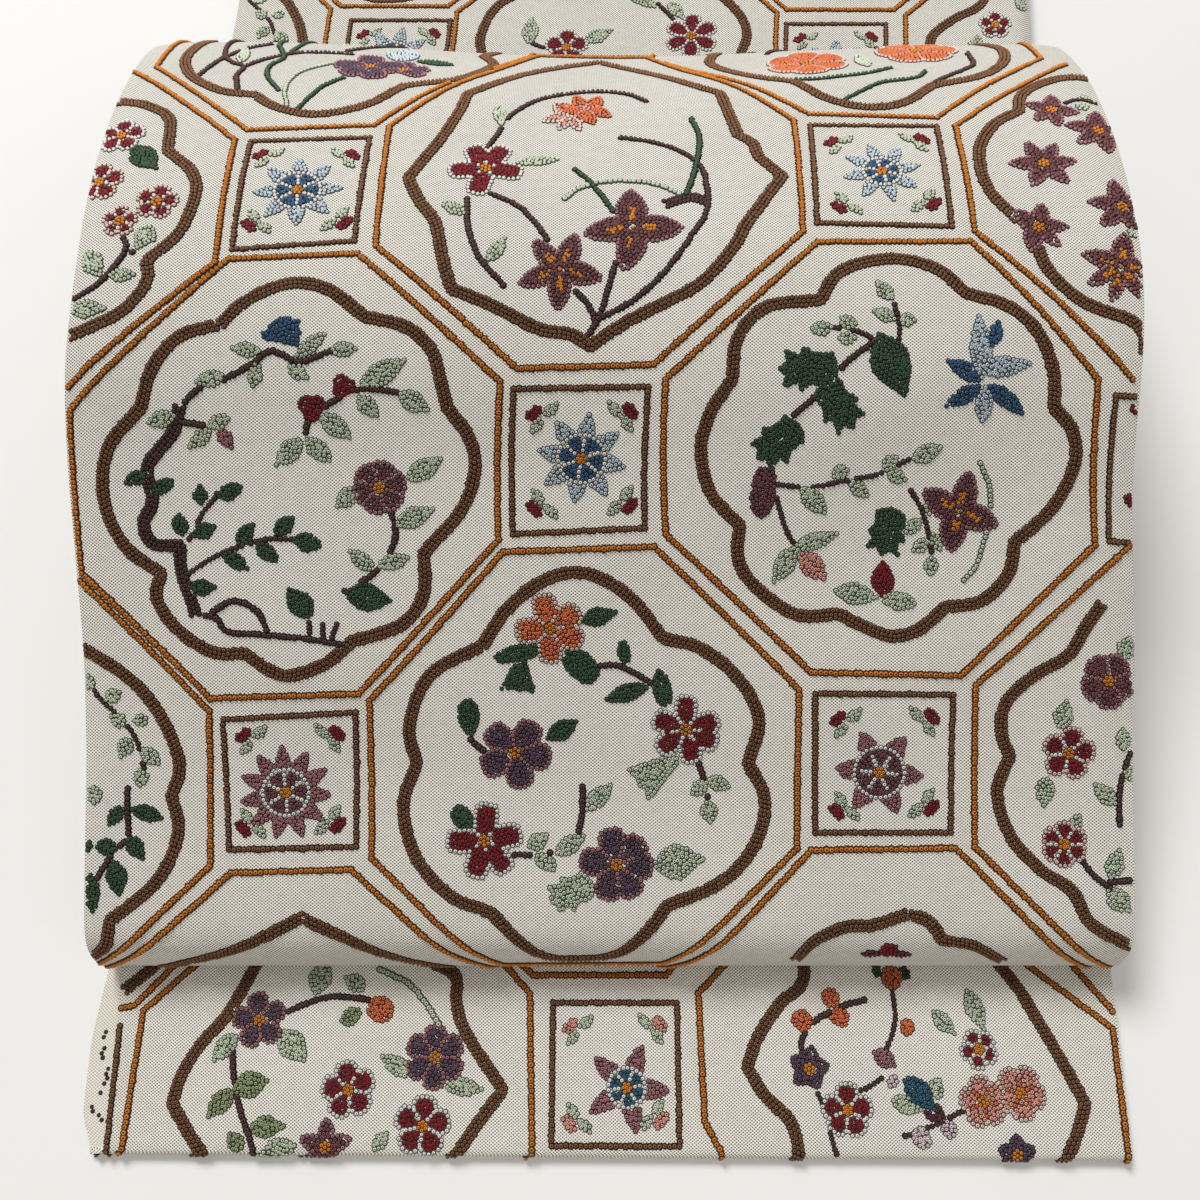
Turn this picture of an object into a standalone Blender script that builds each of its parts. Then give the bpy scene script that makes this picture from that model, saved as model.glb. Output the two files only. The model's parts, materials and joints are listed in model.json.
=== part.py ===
"""A lined sash band folded into a display bow: a rear stretch, a hollow drum, a short flap in front.

The band is one long strip of lined cloth. It comes from the folded length at the back, turns up behind
the drum, runs over it and down its face, folds under at the front, and comes out again as the flap.
Sizes are in millimetres and become metres where a mesh is made. +Z is up, and the front faces -Y.
"Back" is a distance behind the drum's front fold, and "across" a distance right of the band's middle.
"""
import math

import bmesh
import bpy
from mathutils import Vector

MM = 0.001

# The band
BAND_WIDTH = 310.0
HALF_WIDTH = BAND_WIDTH / 2.0
PLY = 2.0                  # face cloth, core and lining together
SEAM_GAP = 0.3             # clearance between neighbouring pieces
ACROSS_STEPS = 20          # squares across the band, closer together near its side edges

# The rest of the band, folded in plies under the bow. One row for each ply, from the bottom up.
# Columns: inset of its side edges, inset of its rear end.
FOLDED_PLY = 1.35          # thickness of a pressed ply
FOLDED_PLIES = (
    (0.0, 1.6),
    (1.3, 1.6),
    (0.5, 0.2),
    (1.6, 0.2),
    (0.2, 1.1),
    (1.1, 12.2),
    (0.6, 12.2),
)
INNER_PLY = 1.8            # the drum's hidden return and the flap's hidden start, on top of the pile
INNER_PLIES = (
    (1.6, 157.0),
    (2.6, 157.0),
)
PLY_EDGE = ((0.3, 0.0), (0.7, 0.0), (1.0, 0.55))   # share of a ply's height, inset of its round edge
BOTTOM_EDGE = 0.6          # softened edge where the pile meets the surface
LEDGE_STEP = 0.5           # a ply that ends well inside the one below also starts this much further back
PILE_INSET = 8.0           # how far the pile's side edges stay inside the band's width
PILE_SHIFT = -7.5          # its middle lies this far left of the line to the rear stretch
PILE_CORNER = 5.0          # plan radius of the pile's corners
CORNER_STEPS = 3
SIDE_STEPS = 7             # straight steps along a long side of the pile
END_STEPS = 5              # straight steps along its front and rear
PILE_FRONT = 18.6          # front edge of the pile, just behind the flap's hidden edge
PILE_LEAN = 1.9            # how fast that front edge leans back for each millimetre of height
LEAN_START = 6.0           # height at which it starts to lean

# Rear stretch
REAR_END = 438.0           # the last fold at the back
PILE_TOP = len(FOLDED_PLIES) * FOLDED_PLY
REAR_TOP = PILE_TOP + SEAM_GAP + PLY
REAR_FOLD_RADIUS = 2.35
REAR_RETURN = 9.0          # length turned under at the rear fold
VALLEY = 300.0             # where the rear stretch meets the drum's rear wall
REAR_STEPS = 26
REAR_DROOP = 3.6           # the right edge turns down over the pile
REAR_REACH = 8.0           # width of the strip that turns down
REAR_DROOP_RUN = 20.0      # distance over which the droop begins behind the valley, and over which it ends
REAR_DROOP_END = 424.0     # the droop is over here, in front of the turned-under return

# Flap in front
FLAP_LENGTH = 50.3         # from the drum's front fold to the flap's own fold
FLAP_HIDDEN = 18.2         # how far it reaches back below the drum
FLAP_FOLD_RADIUS = 2.2
FLAP_TOP = 2.0 * FLAP_FOLD_RADIUS
FLAP_SKEW = 0.9            # its fold runs this much forward at the right and back at the left
FRONT_INSET = 4.6          # the upper ply's left edge lies this far inside the band's width
UNDER_STAND_OUT = 3.4      # the turned-under ply stands out this far beyond the width
UNDER_RUN = 34.0           # distance over which it comes out, from UNDER_START forwards
UNDER_START = 12.0
UNDER_CORNER = 13.0        # distance from the fold over which it draws in again
FLAP_STEPS = 30

# Side profile of the drum's face side, from its seam behind the drum to its turned-under edge.
# Columns: distance back from the front fold, height.
DRUM_SECTIONS = (
    # the valley behind the drum
    (VALLEY - SEAM_GAP, REAR_TOP),
    (296.9, 11.80),
    (295.6, 12.55),
    (295.7, 14.05),
    (297.8, 15.10),
    # the rear wall, which bulges back over the rear stretch
    (303.5, 15.90),
    (309.8, 18.60),
    (314.6, 23.80),
    (316.9, 30.60),
    (316.4, 39.20),
    (313.0, 47.40),
    (307.6, 54.00),
    (299.5, 60.60),
    (288.6, 67.20),
    # the crown
    (276.5, 73.00),
    (264.0, 77.90),
    (252.0, 81.90),
    (240.0, 84.90),
    (228.0, 87.20),
    (214.0, 88.60),
    (200.0, 88.60),
    (187.4, 87.40),
    (175.5, 85.00),
    (164.0, 81.20),
    # the face
    (154.0, 76.60),
    (143.8, 71.60),
    (132.5, 66.60),
    (118.0, 60.80),
    (105.0, 55.60),
    (90.0, 49.80),
    (73.3, 43.60),
    (56.7, 37.70),
    (39.6, 32.50),
    (24.0, 28.30),
    # the front fold and the turned-under edge
    (14.6, 25.20),
    (9.8, 22.00),
    (7.0, 17.80),
    (5.2, 13.20),
    (4.4, 9.80),
    (4.8, 7.20),
    (6.4, 5.45),
    (8.8, 4.80),
    (12.0, FLAP_TOP + SEAM_GAP),
    (17.8, FLAP_TOP + SEAM_GAP),
)
DRUM_STEPS = 96
CROWN_SAG = 4.0            # the top edge hangs this much lower in the middle than at its sides
SAG_CENTRE = 285.0         # distance back where the sag is deepest
SAG_REACH = 105.0
EDGE_DROOP = 1.6           # the side edges turn down
EDGE_REACH = 12.0          # width of the strip that turns down
FREE_HEIGHT = 30.0         # the drum sags and droops only above this height
FREE_RUN = 15.0            # height over which that comes in

# The band comes in from the back at a slight angle, and is straight once it is over the drum.
VALLEY_SHIFT = 7.0         # its middle's shift to the right where it turns up behind the drum
REAR_SHIFT = 16.0          # the same at the rear end
STRAIGHT_HEIGHT = 56.0     # height on the drum's rear wall at which the shift is used up
SWAY = 2.6                 # the face lies this much to the left at SWAY_CENTRE
SWAY_CENTRE = 145.0
SWAY_REACH = 62.0

CURVE_STEPS = 10           # straight steps between two sections, before they are spaced out again
FOLD_STEPS = 12            # straight steps round a fold
BEND_WEIGHT = 9.0          # one radian of bend draws in as many points as this length in millimetres

CLOTH_COLOUR = (0.68, 0.64, 0.56, 1.0)
LINING_COLOUR = (0.66, 0.62, 0.55, 1.0)
CLOTH_ROUGHNESS = 0.85


def smooth_step(value):
    """0 below 0, 1 above 1, and an even swing between."""
    held = min(1.0, max(0.0, value))
    return held * held * (3.0 - 2.0 * held)


# Side profiles: lists of (back, height)

def spline_points(sections):
    """A Catmull-Rom curve through the sections."""
    ends = [sections[0], *sections, sections[-1]]
    points = []
    for before, start, end, after in zip(ends, ends[1:], ends[2:], ends[3:]):
        for step in range(CURVE_STEPS):
            t = step / CURVE_STEPS
            points.append(tuple(
                0.5 * (2.0 * b + (c - a) * t + (2.0 * a - 5.0 * b + 4.0 * c - d) * t ** 2
                       + (3.0 * b - a - 3.0 * c + d) * t ** 3)
                for a, b, c, d in zip(before, start, end, after)))
    points.append(tuple(sections[-1]))
    return points


def arc_points(centre, radius, start, end, count):
    """Points on a circle, with its start and end in degrees from the first axis."""
    angles = [math.radians(start + (end - start) * step / count) for step in range(count + 1)]
    return [(centre[0] + radius * math.cos(a), centre[1] + radius * math.sin(a)) for a in angles]


def spaced_course(points, steps):
    """steps + 1 points along the line, closer together where it bends sharply."""
    weights = []
    for index in range(len(points) - 1):
        ahead = Vector(points[index + 1]) - Vector(points[index])
        behind = Vector(points[index]) - Vector(points[index - 1]) if index else ahead
        weights.append(ahead.length + BEND_WEIGHT * behind.angle(ahead))
    total = sum(weights)
    course, passed, index = [], 0.0, 0
    for step in range(steps + 1):
        goal = total * step / steps
        while index < len(weights) - 1 and passed + weights[index] < goal:
            passed += weights[index]
            index += 1
        share = min(1.0, max(0.0, (goal - passed) / weights[index]))
        course.append(tuple(a + (b - a) * share for a, b in zip(points[index], points[index + 1])))
    return course


def rear_profile():
    """The rear stretch, from its turned-under end at the back to the seam behind the drum."""
    centre = (REAR_END - REAR_FOLD_RADIUS, REAR_TOP - REAR_FOLD_RADIUS)
    turned_under = (centre[0] - REAR_RETURN, centre[1] - REAR_FOLD_RADIUS)
    fold = arc_points(centre, REAR_FOLD_RADIUS, -90.0, 90.0, FOLD_STEPS)
    return [turned_under, *fold, (VALLEY, REAR_TOP)]


def flap_profile():
    """The flap, from its hidden start over its fold to the turned-under end."""
    centre = (FLAP_FOLD_RADIUS - FLAP_LENGTH, FLAP_FOLD_RADIUS)
    fold = arc_points(centre, FLAP_FOLD_RADIUS, 90.0, 270.0, FOLD_STEPS)
    return [(FLAP_HIDDEN, FLAP_TOP), *fold, (FLAP_HIDDEN, 0.0)]


# How a point of the cloth moves off its side profile

def edge_droop(across, depth, reach):
    """How far the cloth turns down this near its side edge."""
    inside = HALF_WIDTH - abs(across)
    return depth * max(0.0, 1.0 - inside / reach) ** 2


def drum_place(across, back, height):
    """The crown sags, the side edges droop, the face sways left and the rear wall leans right."""
    free = smooth_step((height - FREE_HEIGHT) / FREE_RUN)
    sag = CROWN_SAG * smooth_step(1.0 - abs(back - SAG_CENTRE) / SAG_REACH)
    fall = sag * math.cos(math.pi * across / BAND_WIDTH) ** 2 + edge_droop(across, EDGE_DROOP, EDGE_REACH)
    if back < SAG_CENTRE - SAG_REACH / 2.0:
        shift = -SWAY * smooth_step(1.0 - abs(back - SWAY_CENTRE) / SWAY_REACH)
    else:
        shift = VALLEY_SHIFT * smooth_step((STRAIGHT_HEIGHT - height) / (STRAIGHT_HEIGHT - REAR_TOP))
    return across + shift, back, height - free * fall


def rear_place(across, back, height):
    """The rear stretch runs back at an angle, and its right edge turns down."""
    share = (back - VALLEY) / (REAR_END - VALLEY)
    shift = VALLEY_SHIFT + (REAR_SHIFT - VALLEY_SHIFT) * share
    free = smooth_step((back - VALLEY) / REAR_DROOP_RUN)
    free *= smooth_step((REAR_DROOP_END - back) / REAR_DROOP_RUN)
    fall = edge_droop(across, REAR_DROOP, REAR_REACH) * free if across > 0.0 else 0.0
    return across + shift, back, height - fall


def flap_place(across, back, height):
    """The flap's fold is a little askew, and its turned-under ply stands out at the left."""
    to_left = (HALF_WIDTH - across) / BAND_WIDTH
    above = smooth_step((height - PLY) / (FLAP_TOP - PLY))
    drawn_in = smooth_step((back + FLAP_LENGTH) / UNDER_CORNER)
    out = UNDER_STAND_OUT * smooth_step((UNDER_START - back) / UNDER_RUN) * drawn_in
    shift = to_left * (above * FRONT_INSET - (1.0 - above) * out)
    slide = -FLAP_SKEW * across / HALF_WIDTH * smooth_step(-back / FLAP_LENGTH)
    return across + shift, back + slide, height


def place_across(share):
    """Distance from the band's middle for a share from -1 to 1, closer together at the edges."""
    return HALF_WIDTH * (3.0 * share - share ** 3) / 2.0


def cloth_wall(name, profile, steps, place, material):
    """A stretch of band: a sheet laid along its side profile, face side out, thickened inwards."""
    course = spaced_course(profile, steps)
    sheet = bmesh.new()
    bmesh.ops.create_grid(sheet, x_segments=ACROSS_STEPS, y_segments=steps, size=1.0)
    for vertex in sheet.verts:
        back, height = course[round((1.0 - vertex.co.y) / 2.0 * steps)]
        vertex.co = Vector(place(place_across(vertex.co.x), back, height)) * MM
    mesh = bpy.data.meshes.new(name)
    sheet.to_mesh(mesh)
    sheet.free()
    mesh.materials.append(material)
    mesh.shade_smooth()
    wall = bpy.data.objects.new(name, mesh)
    thickness = wall.modifiers.new("wall", "SOLIDIFY")
    thickness.thickness = PLY * MM
    thickness.offset = -1.0
    thickness.use_even_offset = True
    return wall


# The pile of folded plies

def pile_outline(front, rear, side):
    """One level of the pile in plan: a rectangle with round corners, sheared along its centre line."""
    half = HALF_WIDTH - side - PILE_CORNER
    front, rear = front + PILE_CORNER, rear - PILE_CORNER
    corners = ((-half, front, 180.0), (half, front, 270.0), (half, rear, 0.0), (-half, rear, 90.0))
    arcs = [arc_points((across, back), PILE_CORNER, start, start + 90.0, CORNER_STEPS)
            for across, back, start in corners]
    points = []
    for index, arc in enumerate(arcs):
        steps = SIDE_STEPS if index % 2 else END_STEPS
        begun, goal = arc[-1], arcs[(index + 1) % len(arcs)][0]
        points += arc
        points += [tuple(a + (b - a) * step / steps for a, b in zip(begun, goal))
                   for step in range(1, steps)]
    lean = REAR_SHIFT / (REAR_END - PILE_FRONT)
    return [(across + PILE_SHIFT + lean * (back - PILE_FRONT), back) for across, back in points]


def pile_levels():
    """Height, front, rear and side inset of each outline of the pile, from the bottom up.

    Where a ply ends well inside the one below it, an extra outline at the same height makes the ledge.
    """
    plies = [(FOLDED_PLY, *row) for row in FOLDED_PLIES] + [(INNER_PLY, *row) for row in INNER_PLIES]
    below = plies[0][2]
    levels = [(0.0, 0.0, below + BOTTOM_EDGE, plies[0][1] + BOTTOM_EDGE)]
    bottom, step = 0.0, 0.0
    for thickness, side, rear in plies:
        if rear > below + PILE_CORNER:
            step += LEDGE_STEP
            levels.append((bottom, step, rear, side))
        levels += [(bottom + share * thickness, step, rear + inset, side + inset)
                   for share, inset in PLY_EDGE]
        bottom += thickness
        below = rear
    return [(height, PILE_FRONT + step + PILE_LEAN * max(0.0, height - LEAN_START),
             REAR_END - rear, PILE_INSET + side) for height, step, rear, side in levels]


def folded_pile(name, material):
    """The rest of the band as one layered solid: each outline is extruded from the one below."""
    pile = bmesh.new()
    number = pile.verts.layers.int.new("number")
    top = None
    for height, front, rear, side in pile_levels():
        outline = pile_outline(front, rear, side)
        if top is None:
            corners = [pile.verts.new((*point, 0.0)) for point in outline]
            for index, vertex in enumerate(corners):
                vertex[number] = index
            top = bottom = pile.faces.new(corners)
        else:
            grown = bmesh.ops.extrude_face_region(pile, geom=[top])
            if top is not bottom:
                bmesh.ops.delete(pile, geom=[top], context="FACES_ONLY")
            top = next(item for item in grown["geom"] if isinstance(item, bmesh.types.BMFace))
        for vertex in top.verts:
            vertex.co = Vector((*outline[vertex[number]], height)) * MM
    bmesh.ops.recalc_face_normals(pile, faces=pile.faces)
    mesh = bpy.data.meshes.new(name)
    pile.to_mesh(mesh)
    pile.free()
    mesh.materials.append(material)
    return bpy.data.objects.new(name, mesh)


def cloth_material(name, colour):
    material = bpy.data.materials.new(name)
    material.use_nodes = True
    shader = material.node_tree.nodes["Principled BSDF"]
    shader.inputs["Base Color"].default_value = colour
    shader.inputs["Roughness"].default_value = CLOTH_ROUGHNESS
    shader.inputs["Metallic"].default_value = 0.0
    return material


def clear_scene():
    for item in list(bpy.data.objects):
        bpy.data.objects.remove(item)


def centre_on_box(pieces):
    """Moves every piece so that the origin is below the middle of the whole, on the surface."""
    bpy.context.view_layer.update()
    graph = bpy.context.evaluated_depsgraph_get()
    corners = [Vector(corner) for piece in pieces for corner in piece.evaluated_get(graph).bound_box]
    middle = [(min(c[axis] for c in corners) + max(c[axis] for c in corners)) / 2.0 for axis in (0, 1)]
    for piece in pieces:
        piece.location = (-middle[0], -middle[1], 0.0)
    print("the drum's front fold, at the band's middle:", [round(-value, 6) for value in middle])


def build():
    clear_scene()
    sash = bpy.data.collections.new("obi_sash")
    bpy.context.scene.collection.children.link(sash)
    pieces = (
        cloth_wall("rear_stretch", rear_profile(), REAR_STEPS, rear_place,
                   cloth_material("rear_cloth", CLOTH_COLOUR)),
        cloth_wall("drum_stretch", spline_points(DRUM_SECTIONS), DRUM_STEPS, drum_place,
                   cloth_material("drum_cloth", CLOTH_COLOUR)),
        cloth_wall("tare_flap", flap_profile(), FLAP_STEPS, flap_place,
                   cloth_material("flap_cloth", CLOTH_COLOUR)),
        folded_pile("folded_layers", cloth_material("folded_cloth", LINING_COLOUR)),
    )
    for piece in pieces:
        sash.objects.link(piece)
    centre_on_box(pieces)


build()
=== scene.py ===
# %% [markdown]
# # An obi sash, laid down as a drum bow
# The real object is one long strip of lined cloth, 31 cm wide and over 4 m long. It lies folded in flat
# plies, and its last stretch is turned up into a hollow "drum" with a short flap in front. The cloth is
# ivory silk, covered with small motifs made of knots.
# This lesson starts from solids that were made before, called the frame, which say where each piece goes.

# %% Load the frame
import json
import math

import bmesh
import bpy
import numpy as np
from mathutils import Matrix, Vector

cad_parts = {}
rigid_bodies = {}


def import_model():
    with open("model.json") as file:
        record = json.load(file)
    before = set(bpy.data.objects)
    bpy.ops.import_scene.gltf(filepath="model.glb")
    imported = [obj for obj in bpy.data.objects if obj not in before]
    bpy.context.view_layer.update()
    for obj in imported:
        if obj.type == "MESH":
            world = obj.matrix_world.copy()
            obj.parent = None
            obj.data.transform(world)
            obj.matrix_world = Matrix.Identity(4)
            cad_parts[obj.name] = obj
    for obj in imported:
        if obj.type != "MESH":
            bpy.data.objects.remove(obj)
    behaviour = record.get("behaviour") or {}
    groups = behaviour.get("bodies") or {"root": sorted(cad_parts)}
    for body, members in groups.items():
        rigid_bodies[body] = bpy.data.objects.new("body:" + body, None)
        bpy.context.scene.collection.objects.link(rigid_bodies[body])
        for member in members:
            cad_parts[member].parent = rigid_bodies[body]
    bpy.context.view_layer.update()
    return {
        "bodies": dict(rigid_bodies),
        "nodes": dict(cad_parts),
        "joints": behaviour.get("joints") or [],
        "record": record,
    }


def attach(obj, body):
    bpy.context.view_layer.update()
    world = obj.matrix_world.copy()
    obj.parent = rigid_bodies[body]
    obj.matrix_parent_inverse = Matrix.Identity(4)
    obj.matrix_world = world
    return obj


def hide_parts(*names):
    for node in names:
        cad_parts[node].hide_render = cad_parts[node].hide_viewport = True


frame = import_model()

# %% [markdown]
# ## Camera
# A sash on a table is usually shown from above and a little in front. A camera could be aimed with a
# constraint, but one angle and one place are easier to read, and they never change by themselves.

# %% Camera
CAMERA_AT = (-0.0091, -0.1887, 0.3924)
CAMERA_ELEVATION = 73.1  # degrees above the horizon
LENS = 36.0  # as wide as the sensor, so the view is as wide as its distance
NEAREST = 0.01  # nothing nearer to the camera is drawn


def place_object(name, data):
    """A new object that is linked to the scene."""
    item = bpy.data.objects.new(name, data)
    bpy.context.scene.collection.objects.link(item)
    return item


camera_data = bpy.data.cameras.new("camera")
camera_data.sensor_width, camera_data.lens, camera_data.clip_start = LENS, LENS, NEAREST
camera = place_object("camera", camera_data)
camera.location = CAMERA_AT
camera.rotation_euler = (math.radians(90.0 - CAMERA_ELEVATION), 0.0, 0.0)
bpy.context.scene.camera = camera

# %% [markdown]
# ## Shader maths in plain Python
# A procedural material is a graph of nodes. Wiring each maths node by hand takes many lines, so a Signal wraps
# a socket, and each operator adds one Math node. Every other node comes from `Nodes.add`.

# %% Node helpers
def operator(operation, swapped=False):
    """A method that adds a Math node for itself and another value."""
    def apply(self, other):
        return self.maths(operation, *((other, self) if swapped else (self, other)))
    return apply


class Signal:
    """A number that changes over the surface. Operators on it add Math nodes."""
    __add__, __radd__ = operator("ADD"), operator("ADD", True)
    __sub__, __rsub__ = operator("SUBTRACT"), operator("SUBTRACT", True)
    __mul__, __rmul__ = operator("MULTIPLY"), operator("MULTIPLY", True)

    def __init__(self, nodes, socket):
        self.nodes, self.socket = nodes, socket

    def maths(self, operation, *values):
        return self.nodes.add("ShaderNodeMath", {"operation": operation}, dict(enumerate(values)))


class Nodes:
    """A new material, its node tree, and one method that adds any node."""

    def __init__(self, name):
        self.material = bpy.data.materials.new(name)
        self.material.use_nodes = True
        self.tree = self.material.node_tree
        self.tree.nodes.clear()

    def add(self, kind, settings=None, sockets=None, output=0):
        """Adds a node, sets it up, fills or links its inputs, and gives back one of its outputs."""
        node = self.tree.nodes.new(kind)
        for name, value in (settings or {}).items():
            setattr(node, name, value)
        for name, value in (sockets or {}).items():
            if isinstance(value, Signal):
                self.tree.links.new(value.socket, node.inputs[name])
            else:
                node.inputs[name].default_value = value
        return Signal(self, node.outputs[output]) if node.outputs else None

    def noise(self, place, scale, detail):
        return self.add("ShaderNodeTexNoise", None, {"Vector": place, "Scale": scale, "Detail": detail})

    def ramp(self, factor, low, high):
        """A colour ramp between two stops, each a place and a colour."""
        colours = self.add("ShaderNodeValToRGB", None, {"Fac": factor})
        for stop, (place, colour) in zip(colours.socket.node.color_ramp.elements, (low, high)):
            stop.position, stop.color = place, (*colour, 1.0)
        return colours

    def finish(self, **sockets):
        """Adds the shader and the output. Sockets are named with _ for a space."""
        values = {name.replace("_", " "): value for name, value in sockets.items()}
        shader = self.add("ShaderNodeBsdfPrincipled", None, values)
        self.add("ShaderNodeOutputMaterial", None, {"Surface": shader})
        return self.material


def shown_colour(*screen):
    """A screen colour, from 0 to 255, as the linear colour that shaders use."""
    parts = [value / 255.0 for value in screen]
    return tuple(p / 12.92 if p <= 0.04045 else ((p + 0.055) / 1.055) ** 2.4 for p in parts)


# %% [markdown]
# ## The form of the band
# The cloth follows the frame's solids. Its form could be read back from their meshes, but then nobody could
# see what makes it, so the same few sizes are written here. Each stretch has a side profile: distances back
# and heights. A curve through them is measured along the cloth, so a place on the band is two numbers: the
# distance across it, and the distance along it.

# %% Sizes of the band, in millimetres
MM = 0.001
FOLD_AT = (-6.298, -193.387)  # where the drum's front fold is, at the band's middle, in the row frame
BAND_WIDTH = 310.0
HALF_WIDTH = BAND_WIDTH / 2.0
PLY = 2.0  # face cloth, core and lining together
LAY_GAP = 0.3  # between the rear stretch and the pile that it lies on
PILE_TOP = 9.45
REAR_TOP = PILE_TOP + LAY_GAP + PLY
REAR_END, REAR_FOLD_RADIUS = 438.0, 2.35
REAR_RETURN = 9.0  # how far the rear stretch comes back below its fold
VALLEY = 300.0  # where the rear stretch meets the drum
FLAP_LENGTH, FLAP_FOLD_RADIUS = 50.3, 2.2
FLAP_HIDDEN = 18.2  # how far the flap goes on below the drum
FLAP_TOP = 2.0 * FLAP_FOLD_RADIUS

# The drum's side profile, from the valley behind it to its turned-under edge in front.
# Columns: distance back from the front fold, height.
DRUM_SECTIONS = (
    (299.7, 11.75), (296.9, 11.8), (295.6, 12.55), (295.7, 14.05), (297.8, 15.1), (303.5, 15.9), (309.8, 18.6),
    (314.6, 23.8), (316.9, 30.6), (316.4, 39.2), (313, 47.4), (307.6, 54), (299.5, 60.6), (288.6, 67.2),
    (276.5, 73), (264, 77.9), (252, 81.9), (240, 84.9), (228, 87.2), (214, 88.6), (200, 88.6), (187.4, 87.4),
    (175.5, 85), (164, 81.2), (154, 76.6), (143.8, 71.6), (132.5, 66.6), (118, 60.8), (105, 55.6), (90, 49.8),
    (73.3, 43.6), (56.7, 37.7), (39.6, 32.5), (24, 28.3), (14.6, 25.2), (9.8, 22), (7, 17.8), (5.2, 13.2),
    (4.4, 9.8), (4.8, 7.2), (6.4, 5.45), (8.8, 4.8), (12, 4.7), (17.8, 4.7),
)
PROFILE_STEPS = 10  # straight steps between two rows of the table


def smooth_step(value):
    """0 below 0, 1 above 1, and an even swing between."""
    held = np.clip(value, 0.0, 1.0)
    return held * held * (3.0 - 2.0 * held)


def smooth_curve(rows, steps):
    """A Catmull-Rom curve from the second row to the last but one. The outer rows only steer it."""
    t = (np.arange(steps) / steps)[:, None]
    parts = [0.5 * (2.0 * b + (c - a) * t + (2.0 * a - 5.0 * b + 4.0 * c - d) * t ** 2
                    + (3.0 * b - a - 3.0 * c + d) * t ** 3)
             for a, b, c, d in zip(rows, rows[1:], rows[2:], rows[3:])]
    return np.concatenate([*parts, rows[-2:-1]])


def arc_points(centre, radius, start, end, count=12):
    """Points on a circle, with its start and end in degrees."""
    angles = np.radians(np.linspace(start, end, count + 1))
    return np.stack([centre[0] + radius * np.cos(angles), centre[1] + radius * np.sin(angles)], axis=1)


def rear_profile():
    """From the turned-under end at the back to the valley behind the drum."""
    centre = (REAR_END - REAR_FOLD_RADIUS, REAR_TOP - REAR_FOLD_RADIUS)
    start = (centre[0] - REAR_RETURN, centre[1] - REAR_FOLD_RADIUS)
    return np.array([start, *arc_points(centre, REAR_FOLD_RADIUS, -90.0, 90.0), (VALLEY, REAR_TOP)])


def flap_profile():
    """From the flap's hidden start over its fold to the turned-under end."""
    fold = arc_points((FLAP_FOLD_RADIUS - FLAP_LENGTH, FLAP_FOLD_RADIUS), FLAP_FOLD_RADIUS, 90.0, 270.0)
    return np.array([(FLAP_HIDDEN, FLAP_TOP), *fold, (FLAP_HIDDEN, 0.0)])


# %% [markdown]
# ## How the cloth leaves its profile
# A profile that is only pushed sideways gives a stiff tunnel. Real cloth sags at the crown, turns down along
# its long edges, sways, and comes in at a slight angle. Each of these is a small smooth shift.

# %% Sag, droop and sway
SAG, SAG_PLACE = 4.0, (285.0, 105.0)  # amount, then middle and reach
SWAY, SWAY_PLACE = -2.6, (145.0, 62.0)
LEAN, LEAN_FROM = 7.0, 56.0  # the rear wall leans right below this height
FREE_FROM, FREE_OVER = 30.0, 15.0  # above this height the drum sags and droops
CROWN = 232.5  # the face is in front of it, the rear wall behind
DRUM_DROOP, REAR_DROOP = (1.6, 12.0), (3.6, 8.0)  # depth, reach from the edge
REAR_ASIDE, REAR_SLANT = 7.0, 9.0  # the rear stretch's shift to the right, and how much more at its end
REAR_EASE, REAR_EASE_END = 20.0, 424.0  # its droop comes in and goes out over this length
FLAP_ASKEW, FLAP_SLIDE = 4.6, -0.9
# The flap's lower ply steps out to the left.
FLAP_OUT, FLAP_OUT_FROM, FLAP_OUT_REACH, FLAP_OUT_END = 3.4, 12.0, 34.0, 13.0


def swell(value, middle, reach):
    """1 at the middle, falling to 0 at its reach on both sides."""
    return smooth_step(1.0 - np.abs(value - middle) / reach)


def edge_droop(across, depth, reach):
    """How far the cloth turns down this near its long edge."""
    return depth * np.clip(1.0 - (HALF_WIDTH - np.abs(across)) / reach, 0.0, None) ** 2


def drum_place(across, back, height):
    """The crown sags, the side edges droop, the face sways left and the rear wall leans right."""
    free = smooth_step((height - FREE_FROM) / FREE_OVER)
    fall = SAG * swell(back, *SAG_PLACE) * np.cos(np.pi * across / BAND_WIDTH) ** 2
    lean = LEAN * smooth_step((LEAN_FROM - height) / (LEAN_FROM - REAR_TOP))
    shift = np.where(back < CROWN, SWAY * swell(back, *SWAY_PLACE), lean)
    return np.stack([across + shift, back, height - free * (fall + edge_droop(across, *DRUM_DROOP))], axis=-1)


def rear_place(across, back, height):
    """The rear stretch runs back at an angle, and its right edge turns down."""
    share = (back - VALLEY) / (REAR_END - VALLEY)
    free = smooth_step((back - VALLEY) / REAR_EASE) * smooth_step((REAR_EASE_END - back) / REAR_EASE)
    fall = np.where(across > 0.0, edge_droop(across, *REAR_DROOP) * free, 0.0)
    return np.stack([across + REAR_ASIDE + REAR_SLANT * share, back + 0.0 * across, height - fall], axis=-1)


def flap_place(across, back, height):
    """The flap's fold is a little askew, and its turned-under ply stands out at the left."""
    to_left = (HALF_WIDTH - across) / BAND_WIDTH
    above = smooth_step((height - PLY) / (FLAP_TOP - PLY))
    out = FLAP_OUT * smooth_step((FLAP_OUT_FROM - back) / FLAP_OUT_REACH)
    out = out * smooth_step((back + FLAP_LENGTH) / FLAP_OUT_END)
    shift = to_left * (above * FLAP_ASKEW - (1.0 - above) * out)
    slide = FLAP_SLIDE * across / HALF_WIDTH * smooth_step(-back / FLAP_LENGTH)
    return np.stack([across + shift, back + slide, height + 0.0 * across], axis=-1)


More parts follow.
